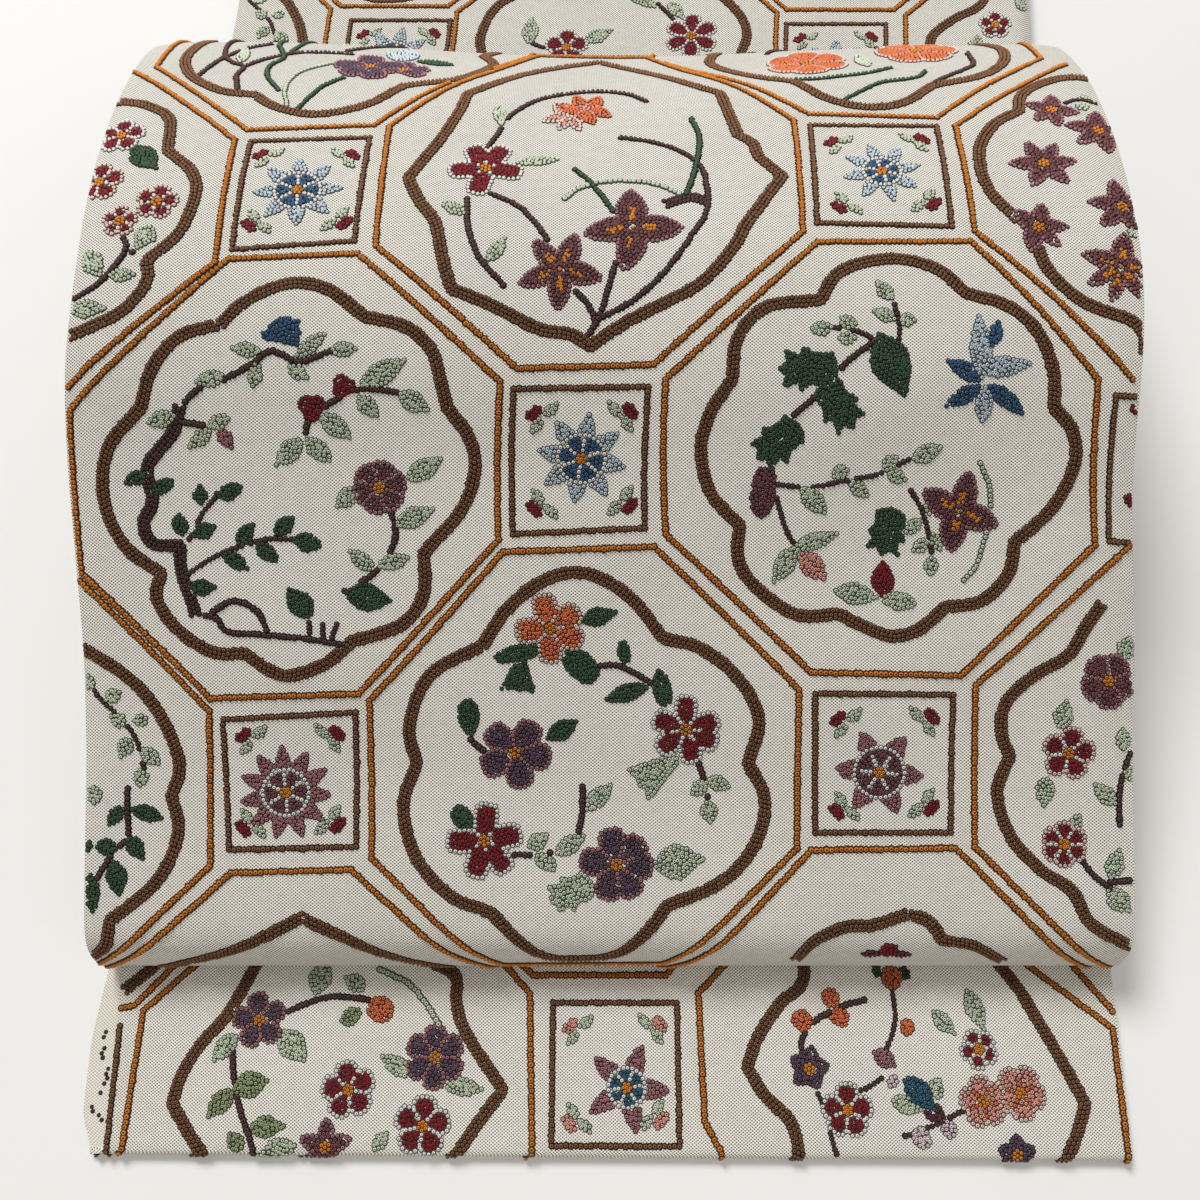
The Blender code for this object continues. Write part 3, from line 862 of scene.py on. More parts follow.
def fill_knots(outline, laid=NOTHING):
    """Packs a closed outline from its edge inwards, ring by ring, round the knots already laid."""
    low, high = outline.min(axis=0), outline.max(axis=0)
    fine = np.stack(np.meshgrid(*(np.arange(low[axis], high[axis], FILL_GRID) for axis in (0, 1))), axis=-1)
    fine = fine.reshape(-1, 2)
    depth = edge_distance(fine, outline)
    inside = depth > FILL_INSET
    fine, depth = fine[inside], depth[inside]
    clear = clear_of(fine, laid, FILL_PITCH * FILL_CLEAR)
    fine, depth = fine[clear], depth[clear]
    x, y = (fine - (low + high) / 2.0).T
    fine = fine[np.lexsort((np.arctan2(y, x), np.floor((depth - FILL_INSET) / RING_DEPTH)))]
    packed = NOTHING
    for share in CLOSER:
        holes = fine[clear_of(fine, packed, FILL_PITCH * share)]
        packed = np.concatenate([packed, holes[spread_out(holes, FILL_PITCH * share)]])
    return packed


class Embroidery:
    """The knots of one stretch, sorted by motif. Only those within its open face are kept."""

    def __init__(self, name, stretch, nearest, farthest):
        self.name, self.stretch, self.nearest, self.farthest = name, stretch, nearest, farthest
        self.motifs, self.taken = {}, NOTHING

    def lay(self, motif, places, threads, size=1.0):
        """Adds knots at (across, along), each with the name of its thread or one name for all."""
        names = [threads] * len(places) if isinstance(threads, str) else threads
        index = np.array([THREAD_NAMES.index(name) for name in names], dtype=np.int64)
        keep = ((np.abs(places[:, 0]) < HALF_WIDTH - SEAM_ALLOWANCE) & (places[:, 1] > self.nearest)
                & (places[:, 1] < self.farthest))
        places, index = places[keep], index[keep]
        if not len(places):
            return
        low, high = places.min(axis=0) - LOOK_ROUND, places.max(axis=0) + LOOK_ROUND
        close = self.taken[((self.taken > low) & (self.taken < high)).all(axis=1)]
        keep = clear_of(places, close, KEEP_APART)
        places, index = places[keep], index[keep]
        keep = np.sort(spread_out(places, KEEP_APART))
        places, index = places[keep], index[keep]
        self.taken = np.concatenate([self.taken, places])
        self.motifs.setdefault(motif, []).append((places, index, np.full(len(places), size)))

    def finish(self, seed):
        """Joins the knots of each motif as one piece."""
        pieces = []
        for motif, parts in self.motifs.items():
            places, index, sizes = (np.concatenate(column) for column in zip(*parts))
            name = f"{self.name}_{motif}"
            pieces.append(join_knots(name, self.stretch, *places.T, index, sizes, seed + len(pieces)))
            print(name, "knots:", len(places))
        return pieces


# %% [markdown]
# ## Flowers and leaves
# The flowers are ordinary ones: three to six petals, some round and some pointed, most with a golden heart.
# One formula draws them all: the reach from the heart swings between a waist, at the seams between petals,
# and the full radius at their middles. Heart, seams and rim are laid first, as an embroiderer would, and
# the petals are packed between them. A leaf is only its two ends, its width and the name of its shape.

# %% Shapes of leaves and flowers
LEAF_SHAPES = {  # one side: share of the length, and of the width
    "plain": (0.0, 0.06, 0.12, 0.26, 0.3, 0.45, 0.48, 0.5, 0.7, 0.36, 0.9, 0.12, 1.06, 0.0),
    "bud": (0.0, 0.2, 0.15, 0.42, 0.45, 0.5, 0.75, 0.44, 0.92, 0.28, 1.0, 0.06),
    "blunt": (0.0, 0.1, 0.2, 0.34, 0.5, 0.5, 0.85, 0.42, 1.0, 0.2),
    "flared": (0.0, 0.14, 0.35, 0.26, 0.9, 0.5, 1.0, 0.48, 0.9, 0.2, 0.98, 0.0),
    "ivy": (0.0, 0.12, 0.1, 0.36, 0.42, 0.34, 0.6, 0.5, 0.64, 0.3, 0.93, 0.42, 0.86, 0.16, 1.0, 0.0),
}
LEAF_ROOM = 0.5  # added to a leaf's width, so that whole knots fit
# Columns: kind of petal, half width of a round petal or waist of a pointed one as a share of the radius,
# threads of petal, rim and seam, radius of the heart, thread of the veins.
BLOOMS = {
    "cherry": ("round", 0.30, "crimson", "white", "white", 1.7, None),
    "small_cherry": ("round", 0.42, "crimson", "white", "white", 1.5, None),
    "blush_cherry": ("round", 0.40, "crimson", "blush", "white", 1.6, None),
    "coral": ("round", 0.34, "coral", "blush", "blush", 1.6, None),
    "rosy": ("round", 0.46, "rose", "blush", "coral", 1.6, None),
    "peony": ("round", 0.44, "coral", "blush", "rose", 2.2, None),
    "violet": ("round", 0.36, "plum", "mauve", "mauve", 1.7, None),
    "dark_violet": ("pointed", 0.66, "plum", "plum", "plum", 1.6, None),
    "lily": ("pointed", 0.42, "umber", "mauve", "umber", 0.4, "gold"),
    "bellflower": ("pointed", 0.48, "umber", "mauve", "umber", 1.7, None),
    "round": ("round", 0.52, "umber", "mauve", "mauve", 1.6, None),
    "flame": ("pointed", 0.50, "coral", "coral", "rose", 0.0, None),
    "pink_star": ("pointed", 0.50, "rose", "blush", "blush", 0.0, None),
    "red_bud": ("round", 0.62, "crimson", "crimson", "crimson", 0.0, None),
}
FULL_TURN = 2.0 * np.pi
OUTLINE_POINTS = 144
PETAL_FLATTEN, PETAL_CORNER = 0.2, 8  # how blunt a round petal's end is, how tightly it turns its corners
MIDDLE_LEAST = 0.05  # keeps its sides finite at its middle
POINT_POWER = 1.15  # above 1, the sides of a pointed petal are hollow
RIM_INSET, RIM_PITCH = 0.6, 1.45  # the rim row's middle inside the outline, and its step
SEAM_PITCH = 1.35
SEAM_CLEAR = 0.9  # seams stop this far from the heart and from the waist
HEART_SHARE, HEART_MOST = 0.75, 1.5  # the ring of knots round the heart's middle
BIG_HEART = 2.0  # from this radius on, the ring has eight knots, not six
VEIN_WIDTH, VEIN_FROM, VEIN_TO = 0.85, 0.2, 0.5
LINE_PITCH = 1.46  # from one knot to the next in a line of single knots
STEM_SIZE = {1: 1.12, 2: 1.34, 3: 1.1}  # the size of a knot in a thin, a thick and a wide stem
FRAME_SIZE = 1.06


def leaf_outline(start_x, start_y, end_x, end_y, width, shape="plain"):
    """A closed outline from the leaf's foot to its tip."""
    side = as_pairs(LEAF_SHAPES[shape])
    loop = np.concatenate([side, (side * (1.0, -1.0))[::-1]])
    ahead = np.array([end_x - start_x, end_y - start_y])
    left = np.array([-ahead[1], ahead[0]]) / np.linalg.norm(ahead)
    return (start_x, start_y) + loop[:, :1] * ahead + loop[:, 1:] * (width + LEAF_ROOM) * left


def petal_angles(petals, turn):
    """Even petals from a number, or uneven ones from their own angles in degrees, as sorted radians."""
    degrees = turn + np.arange(petals) * 360.0 / petals if np.isscalar(petals) else np.array(petals, float)
    return np.sort(np.radians(degrees) % FULL_TURN)


def petal_outline(middles, radius, width, kind):
    """A closed line round the petals: paddles with even sides, or the points of a star."""
    angle = np.linspace(0.0, FULL_TURN, OUTLINE_POINTS + 1)[:-1]
    after = np.searchsorted(middles, angle)
    before = np.where(after > 0, middles[after - 1], middles[-1] - FULL_TURN)
    gap = np.where(after < len(middles), middles[after % len(middles)], middles[0] + FULL_TURN) - before
    share = np.abs((angle - before) / gap * 2.0 - 1.0)  # 0 at a seam, 1 at a petal's middle
    if kind == "round":
        aside = (1.0 - share) * gap / 2.0
        side, end = width / np.maximum(np.sin(aside), MIDDLE_LEAST), 1.0 - PETAL_FLATTEN * aside ** 2
        reach = (end ** -PETAL_CORNER + side ** -PETAL_CORNER) ** (-1.0 / PETAL_CORNER)
    else:
        reach = width + (1.0 - width) * share ** POINT_POWER
    return radius * reach[:, None] * np.stack([np.cos(angle), np.sin(angle)], axis=1)


def rays(angles, steps):
    """Points along a ray at each angle."""
    return np.concatenate([steps[:, None] * (math.cos(angle), math.sin(angle)) for angle in angles])


def ring(radius, angles):
    """Points on a circle at those angles."""
    return np.stack([radius * np.cos(angles), radius * np.sin(angles)], axis=1)


def joined(arcs):
    """One line from arcs. Each arc after the first starts where the one before it ended."""
    line, start = NOTHING, ()
    for arc in arcs:
        line = np.concatenate([line[:-1], curve((*start, *arc))])
        start = arc[-2:]
    return line


class Panel:
    """A place to draw in on the cloth: x runs to the right and y to the back, from a centre."""

    def __init__(self, cloth, across, along):
        self.cloth, self.across, self.along = cloth, across, along

    def lay(self, motif, points, threads, size=1.0):
        """Lays knots at places from the panel's centre."""
        places = np.stack([self.across + points[:, 0], self.along - points[:, 1]], axis=1)
        self.cloth.lay(motif, places, threads, size)

    def leaf(self, thread, *measures):
        self.lay("leaves", fill_knots(leaf_outline(*measures)), thread)

    def stem(self, thread, width, points):
        """A thin, thick or wide line: 1, 2 or 3."""
        line = curve(points)
        places = three_rows(line) if width == 3 else even_steps(line, LINE_PITCH)
        self.lay("stems", places, thread, STEM_SIZE[width])

    def bloom(self, kind, x, y, radius, petals, turn=90.0):
        """Heart, rim and seams first, then the petals, and veins where the kind has them."""
        form, width, petal, rim, seam, heart, vein = BLOOMS[kind]
        middles = petal_angles(petals, turn)
        outline = petal_outline(middles, radius, width, form)
        reach = np.linalg.norm(outline, axis=1)
        edge = outline * (1.0 - RIM_INSET / reach[:, None])
        edge = even_steps(np.concatenate([edge, edge[:1]]), FILL_PITCH if rim == petal else RIM_PITCH)[:-1]
        centre = seams = NOTHING
        if heart > 0.0:
            around = np.radians(np.arange(0, 360, 360 // (6 if heart < BIG_HEART else 8)) + turn)
            centre = np.concatenate([[(0.0, 0.0)], ring(min(heart * HEART_SHARE, HEART_MOST), around)])
        if seam != petal:
            between = (middles + np.append(middles[1:], middles[0] + FULL_TURN)) / 2.0
            seams = rays(between, np.arange(heart + SEAM_CLEAR, reach.min() - SEAM_CLEAR, SEAM_PITCH))
        laid = np.concatenate([centre, edge, seams])
        inner = fill_knots(outline, laid)
        names = np.full(len(inner), petal, dtype=object)
        if vein:
            away, angle = np.linalg.norm(inner, axis=1), np.arctan2(inner[:, 1], inner[:, 0])
            off = np.abs((angle[:, None] - middles + np.pi) % FULL_TURN - np.pi).min(axis=1)
            names[(away * off < VEIN_WIDTH) & (away > VEIN_FROM * radius) & (away < VEIN_TO * radius)] = vein
        threads = ["gold"] * len(centre) + [rim] * len(edge) + [seam] * len(seams) + list(names)
        self.lay("blooms", np.concatenate([laid, inner]) + (x, y), threads)

    def garden(self, frame=(), blooms=(), leaves=(), stems=()):
        """Blooms lie in front, then leaves, stems and the frame line."""
        for kind, *rows in blooms:
            for row in rows:
                self.bloom(kind, *row)
        for thread, *rows in leaves:
            for row in rows:
                self.leaf(thread, *row)
        for thread, width, *rows in stems:
            for row in rows:
                self.stem(thread, width, row)
        for arcs in frame:
            self.lay("frames", three_rows(joined(arcs)), "brown", FRAME_SIZE)


# %% [markdown]
# ## The gardens
# Each eight-sided field holds a frame line, either ogee or lobed, and a small garden. A garden is a table,
# placed in millimetres from the field's centre: x to the right, y to the back. The rows of a table
# stand in groups that share a kind of bloom, a thread, or a thread and a width. What is named first lies in
# front, so a thread can have more than one group. A bloom has its centre, its radius, and either a number of
# petals and a turn, or the petals' own angles. A leaf has its foot, tip, width and shape. Frames and stems
# are rows of x, y pairs. A frame is made of arcs, which meet in corners, and every arc after the first starts
# where the one before it ended.

# %% Gardens: bare branches and an old trunk
BARE_BRANCHES = dict(
    frame=(((2, 83, -10, 75.5, -21, 66.5, -31, 54.5, -40, 44), (-42, 32, -46, 19, -51, 8, -55, 0),
            (-51, -9, -46, -17, -43, -30, -40, -39), (-26, -45, -14, -51, -5, -52.5, 1, -56),
            (11, -49, 22, -43, 32, -37, 41, -26, 45, -18), (52, -7, 57, 1), (51, 9, 49, 16, 45, 20),
            (43, 31, 41, 45), (32, 53, 21, 65.5, 12, 74.5, 2, 83)),),
    blooms=(("cherry", (-32, 4.5, 11.5, (115, 62, -10, -103, 187))),
        ("flame", (-2, 35, 9.5, (112, 62, -32, -75, 175))),
        ("pink_star", (-7, 31, 9.5, (120, 205, 250, 290, 330))),
        ("lily", (-9, -33, 13, (129, 70, -14, -90, 203)), (12, -19, 15, (92, 0, -100, 190)))),
    leaves=(("sage", (-28, 25, -30, 38, 4), (-23, 7, -9, 9, 4), (-37, -14, -45, -9, 4),
            (-30, -31, -25, -22, 4)),),
    stems=(("forest", 2, (31, 29, 33, 18, 31, 4, 28, -6), (-5, 4, 0, -2, 7, -14)),
        ("bark", 2, (3, -48, 12, -43, 21, -34, 29, -22, 34, -12, 34, 0, 32, 7, 26, 13, 18, 17, 9, 19),
            (-32, 14, -29, 21, -26, 30, -18, 40, -8, 45, 2, 47, 11, 45, 17, 40),
            (-30, -6, -23, -10, -18, -15, -13, -23), (-37, -8, -36, -20, -32, -30, -25, -38),
            (0, -53, 3, -48, 5, -40, 7, -31), (2, -48, -1, -43, -4, -40)),
        ("bark", 3, (34, -9, 29, -7.5, 22, -10)),
        ("sage", 2, (-8, -8, -4, -4, 4, -1, 14, -1, 21, -3, 27, -7))))
OLD_TRUNK = dict(
    frame=(((-19, 44, -12, 51, 0, 56, 11, 54, 22, 46), (34, 43, 42, 36, 45, 27, 47, 20),
            (53, 12, 55, 3, 51, -9, 39, -22), (38, -34, 31, -43, 16, -48),
            (9, -54, -2, -58, -9, -56, -15, -51.5), (-25, -51, -35, -44, -40, -35, -38, -28),
            (-48, -20, -53, -7, -51, 8, -41, 20), (-38, 31, -31, 40, -19, 44)),),
    blooms=(("red_bud", (8, 20, 4.2, 3, 30), (17, 26, 3.6, 3, 0)),
        ("round", (27, -3, 8, 6, 75))),
    leaves=(("mauve", (-19, 14, -15, 8, 4)),
        ("denim", (-7, 40.5, 4.5, 41.5, 8, "flared"), (-6, 42, 4, 45, 4.5)),
        ("sage", (-7, 36, -16, 37, 4), (3, 34, 12, 42, 4), (13, 36, 21, 37, 4), (1, 32, 7, 28, 4),
            (-8, 33, -9, 25, 4), (-17, 29, -26, 27, 4.5), (-31, 18, -40, 15, 4.5), (-21, 14, -28, 8, 4),
            (-22, 14, -15, 18, 4), (22, 26, 35, 34, 6.5), (33, 24, 42, 19, 5.5), (21, 23, 28, 17, 4.5),
            (10, 18, 20, 11, 5.5), (5, 11, -3, 3, 5.5), (6, 11, 14, 4, 5), (35, -1, 46, 6, 5.5),
            (21, -3, 14, -9, 5), (31, -14, 43, -9, 5.5), (24, -27, 17, -21, 4.5), (25, -26, 35, -23, 4.5)),
        ("forest", (-40, 1, -47, -2, 4), (-39, -5, -32, 0, 4), (-25, -8, -25, -2, 4), (-20, -6, -12, -2, 4.5),
            (-31, -17, -32, -10, 4.5), (-28, -17, -21, -14, 4.5), (-15, -20, -10, -13, 4.5),
            (-4, -17, 2, -11, 4.5), (1, -18, 10, -20, 5.5), (-10, -19, -3, -25, 4.5),
            (-20, -22, -12, -27, 4.5), (-30, -32, -22, -32, 4.5), (5, -41, -2, -32, 7),
            (15, -34, 29, -36, 8))),
    stems=(("bark", 3, (-30, 20, -32, 13, -37, 7, -40, 2, -39, -7, -42, -13, -40, -19, -32, -20),
            (-32, -20, -32, -28, -30, -35, -29, -40)),
        ("bark", 2, (-29, -40, -23, -41, -20, -45, -9, -46, 2, -47, 14, -49),
            (-31, 18, -25, 25, -17, 28, -10, 32, -4, 36, 4, 33, 13, 36), (-30, 16, -22, 14.5),
            (6, 10, 7, 16, 13, 21, 21, 25, 27, 25, 34, 24), (30, -9, 31, -17, 27, -25, 21, -30, 15, -33)),
        ("bark", 1, (-29, -18, -25, -11, -20, -5), (-30, -28, -22, -23, -14, -20, -6, -18, 2, -18)),
        ("bark", 2, (-25, -40, -18, -36, -11, -39, -8, -46)),
        ("bark", 1, (4, -41, 4, -48), (8, -43, 8, -47), (12, -43, 10, -48))))

# %% Gardens: ivy and a wreath
IVY = dict(
    frame=(((-20, 45, -14, 54, 0, 58, 13, 55, 22, 47), (34, 43, 43, 35, 48, 24, 49, 14),
            (55, 7, 56, -3, 50, -15, 39, -25), (37, -34, 29, -42, 18, -44),
            (11, -50, 3, -52.5, -5, -50, -13, -46), (-26, -46, -38, -37, -42, -29, -41, -20),
            (-49, -11, -52, 1, -50, 12, -44, 22), (-43, 34, -35, 43, -20, 45)),),
    blooms=(("lily", (23, -16, 12.5, (76, 149, -20, -103))),),
    leaves=(("forest", (-14, 25, -31, 25, 13, "ivy"), (-18, 21, -8, 8, 12, "ivy"), (-3, 35, 6, 17, 11),
            (-24, 9, -36, -1, 13, "ivy"), (4, -15, 0, -29, 12, "ivy")),
        ("umber", (-33, -3, -35, -18, 7, "bud")),
        ("sage", (-16, 37, -23, 36, 4), (-9, 37, -15, 40, 3.5), (-9, 34, -15, 33, 3.5), (1, 45, -4, 51, 4),
            (2, 39, -5, 42, 3.5), (3, 39, 8, 39, 4), (9, -1, 18, 3, 5), (1, -4, 5, 1, 4), (2, -5, 8, -7, 4),
            (-14, -6, -9, -3, 4), (-9, -7, -3, -12, 4), (-23, -9, -15, -17, 5.5)),
        ("rose", (-24, -28, -16, -36, 6.5)),
        ("sage", (-26, -27, -12, -22, 4.5), (-25, -26, -32, -37, 5.5), (12, -18, 7, -23, 3.5),
            (13, -14, 17, -17, 3.5), (14, -24, 9, -28, 3.5), (15, -22, 18, -28, 3.5), (15, -29, 14, -35, 4)),
        ("crimson", (0, -41, 0.5, -30, 6.5)),
        ("sage", (-14, -39, -1, -41, 6), (10, -43, -2, -41, 5)),
        ("denim", (29.5, 31, 31.5, 39, 4)),
        ("mist", (27.5, 22, 25.5, 41, 6), (26, 24.5, 42, 26.5, 5.5), (28.5, 20, 29, 8.5, 5)),
        ("denim", (28, 21.5, 16.5, 27.5, 4.5), (27.5, 20, 17, 14, 4.5), (29.5, 20.5, 41.5, 11.5, 4.5))),
    stems=(("bark", 2, (-4, 33, -10, 28, -15, 23, -21, 16, -28, 10)),
        ("bark", 1, (-5, 34, -10, 36, -17, 37), (3, 32, 3, 38, 1, 45),
            (-31, -8, -21, -9, -10, -7, 0, -5, 8, -1), (-30, -12, -28, -20, -25, -26),
            (9, -10, 12, -15, 14, -22, 15, -29)),
        ("sage", 1, (29, -2, 32, -9, 32, -17), (31, -22, 28, -31, 24, -36))))
WREATH = dict(
    frame=(((-30, 36, -22, 47, -10, 55.5, 2, 57, 14, 50, 23, 38), (34, 35, 45, 26, 51, 14, 48, 1),
            (53, -10, 50, -23, 40, -34, 24, -41), (17, -50, 8, -58, -2, -60, -13, -58, -28, -43),
            (-40, -38, -50, -27, -54, -12, -50, 1), (-52, 12, -46, 27, -30, 36)),),
    blooms=(("coral", (-10, 41, 10.5, (100, 32, -24, -92, 186))),
        ("violet", (-21, 4, 11, (135, 57, -8, -78, 207))),
        ("cherry", (29.5, 11, 10.5, (90, 17, -25, -78, -142, 160)),
            (-30, -22, 11.5, (86, 12, -52, -106, 180))),
        ("violet", (9, -29, 11, (100, 43, -2, -58, -108, 172)))),
    leaves=(("forest", (-1, 43, 10, 46, 5), (-13, 35, -27, 32, 4.5, "bud"), (-19, 32, -20, 22, 10, "flared"),
            (-7, 35, 3, 26, 8, "blunt"), (12, 30, 11, 37, 3.5, "blunt"), (18.5, 24, 5, 19.5, 5),
            (21.5, 29, 23.5, 18, 5, "blunt"), (-34, 9, -35, 20, 6, "blunt"), (-11.5, 8, -2, 14, 5.5),
            (-33.5, -19, -39, -12, 5.5, "blunt")),
        ("sage", (27, 3, 15, -6, 11, "flared"), (36, -4, 31, -9, 4), (36, -4, 43, -6, 4.5),
            (36, -10, 37, -17, 5), (0, -13, 8, -5, 5), (-9, -26, 0, -20, 5), (-17, -24, -11, -20, 4.5),
            (-15, -26, -8, -31, 4.5), (2, -34, -11, -40, 11, "ivy"), (20, -29, 35, -27, 10))),
    stems=(("bark", 2, (3, 30, 9, 30, 14, 28, 19, 25), (-34, 8, -32, 6, -29, 4), (-1, -6, -1, -13, -2, -19),
            (-21, -26, -14, -26, -9, -25), (33, 2, 35, -4, 36, -9)),))

# %% Gardens: iris bed and coral bed
IRIS_BED = dict(
    frame=(((-19, -46, -30, -44, -41, -35, -46, -23, -46, -10, -44, 4), (-51, 14, -48, 27, -36, 34),
            (-27, 46, -12, 54, 2, 56, 17, 51, 27, 40), (41, 33, 50, 22, 53, 8, 50, 0),
            (54, -9, 50, -19, 43, -29, 27, -37), (17, -50, 2, -56.5, -11, -53, -19, -46)),),
    blooms=(("violet", (14, -21, 12, (95, 180, 230, 285, 20)), (25, -22, 9, (20, 90, 200, 320)),
            (-14, 22, 11, 5, 80)),
        ("bellflower", (22, 18, 9, 5, 60))),
    leaves=(("mist", (22, -13, 24, 4, 11)),
        ("forest", (28, -11, 42, -12, 5)),
        ("sage", (-28, -24, -29, -8, 4)),
        ("forest", (-34, 12, -36, 26, 6)),
        ("sage", (2, 30, 12, 40, 6), (-2, 10, 9, 14, 5))),
    stems=(("bark", 2, (-35, 12, -36, -6, -34, -18, -30, -24, -26, -27, -27, -34, -25, -43),
            (-26, -27, -20, -19, -12, -12, -5, -10, 6, -9), (-39, -34, -35, -22, -29, -10, -22, -3)),
        ("forest", 2, (-20, 8, -19, -4, -15, -17, -18, -26, -17, -34, -12, -43),
            (-10, 14, -12, -2, -15, -17)),
        ("sage", 1, (1, -21, -6, -28, -9, -34, -10, -43, -8, -52)),
        ("forest", 2, (7, -33, 2, -39, -1, -45, -4, -53)),
        ("bark", 2, (20, 9, 12, 2, 4, -6))))
CORAL_BED = dict(
    frame=(((-21, -40, -31, -34, -40, -23, -46, -11, -43, 3), (-50, 13, -47, 28, -34, 37),
            (-24, 48, -9, 56, 6, 57, 20, 50, 28, 40), (41, 35, 50, 24, 52, 9, 47, -2),
            (52, -14, 49, -29, 39, -41, 22, -48), (12, -57, 0, -59, -12, -53, -21, -40)),),
    blooms=(("peony", (-14, -20, 14, 6, 90), (24, -12, 14, 6, 60), (2, 20, 13, 5, 90)),),
    leaves=(("sage", (5, -28, 4, -12, 5)),
        ("forest", (-30, 4, -38, 14, 6), (20, 24, 34, 30, 6)),
        ("sage", (-22, 22, -34, 28, 6), (36, 6, 44, 12, 5))),
    stems=(("forest", 2, (-20, -39, -13, -39.5, -5, -38.5, 3, -36.5, 12, -31),
            (-6, -54, 1, -48.5, 7, -44.5, 14, -43, 19, -41, 22, -36)),
        ("bark", 2, (40, -18, 39, -30, 34, -36, 26, -43, 23, -46)),
        ("umber", 1, (12, 4, 12, -10)),
        ("gold", 1, (18, 6, 17, -6)),
        ("bark", 2, (-26, -4, -20, 6, -10, 12))))

# %% Gardens: daisies, bellflowers, willow and rosebuds
DAISIES = dict(
    frame=(((15, 45, 28, 42, 39, 37.5, 45, 31, 47, 17), (55, 9, 58, 0, 55, -14, 46.5, -23.5),
            (47, -31, 40, -40, 26, -46, 15, -47)),),
    blooms=(("small_cherry", (31.5, 24, 7.5, 5, 90)),
        ("blush_cherry", (28.5, 4.5, 7.5, 5, 90), (47, -3.5, 6.5, 5, 80), (37, -10.5, 5.5, 5, 90))),
    leaves=(("forest", (36, 19, 45, 9, 8)),
        ("sage", (47, -12, 43, -20, 6), (28, -20, 34, -29, 6), (36, -28.5, 44, -28, 4),
            (25, -38, 37, -38.5, 5))),
    stems=(("bark", 2, (38, -15, 40, -20, 35, -29, 30, -33, 24, -36), (40, -20.5, 42, -21)),))
BELLFLOWERS = dict(
    frame=(((-14, 45, -22, 44, -32, 39, -39, 32, -41.5, 23.5), (-51, 16, -57, 4, -56, -12, -45, -28),
            (-42, -39, -32, -49, -17, -54.5), (-14, -58, -13.5, -63)),),
    blooms=(("bellflower", (-31.3, 24, 8.8, (77, -8, -87, -139, 157)),
            (-18.8, 14, 10.5, (80, 20, -82, -140, 167)), (-38.5, -1, 10.5, (110, 58, 8, -52, -118, 180)),
            (-17.8, -17.5, 10.5, (96, 30, -60, -137, 172)), (-43.5, -25, 9, (77, 0, -50, -110, 135))),
        ("lily", (-20.8, -38, 12, (77, 0, -55, -105, -149, 160)))),
    leaves=(("sage", (-22, 28, -20, 24, 5), (-20, 31, -17, 33, 3.5), (-14, -24, -17, -28, 4)),),
    stems=(("bark", 1, (-26, 28, -21, 30, -13, 28)),))
WILLOW = dict(
    frame=(((20, 45, 31, 38.5, 41, 31, 49, 20, 53.5, 7, 51, -2), (53, -13, 47, -27, 33, -39),
            (31, -47, 24, -54)),),
    leaves=(("sage", (24, 34, 29, 30, 4), (32, 26, 37, 29.5, 4), (38, 19, 33, 22, 4), (40, 20, 45, 20.5, 3.5),
            (39, 15, 36, 9, 4.5), (42, 12, 48, 7, 4.5), (42, 6, 42, 0, 4.5), (28, 1, 28, -5, 5)),
        ("forest", (39, -6, 49, -9, 4.5), (37, -5, 32, -11, 4), (38, -14, 43, -21, 5), (35, -17.5, 28, -17, 5),
            (34, -21, 36, -32, 6), (27, -25, 28, -37, 5), (25, -14, 26, -20, 4))),
    stems=(("bark", 1, (26, 33, 31, 26, 37, 20.5, 41, 14, 43, 6)),
        ("bark", 2, (38, 0, 38, -7, 38, -14, 33, -20, 28, -29))))
ROSEBUDS = dict(
    frame=(((-24, 42, -29, 35, -34, 27, -44, 21, -52, 13, -53, 4, -50.5, -3), (-54, -14, -50, -27, -41, -37),
            (-32, -43, -27, -52, -14, -60)),),
    blooms=(("round", (-22, 19.5, 8.5, 5, 60)),
        ("blush_cherry", (-33.3, -2, 8, 5, 80), (-34.3, -29, 7, 6, 90))),
    leaves=(("sage", (-18, 26, -15, 33, 5.5), (-36, 5, -34, 14, 5.5), (-39.5, -9, -40.5, -18, 5.5),
            (-19, -17, -26, -11, 5), (-17, -1, -17, 6, 4.5), (-16, -10, -13, -5, 4), (-21, -39, -18, -30, 5),
            (-22, -42, -15, -49, 6), (-33, -25, -29, -20, 4)),),
    stems=(("bark", 2, (-12, 3, -16, -5, -18, -14, -18, -23), (-29, -34, -26, -38, -21, -42),
            (-21, -40, -14, -39.5)),))

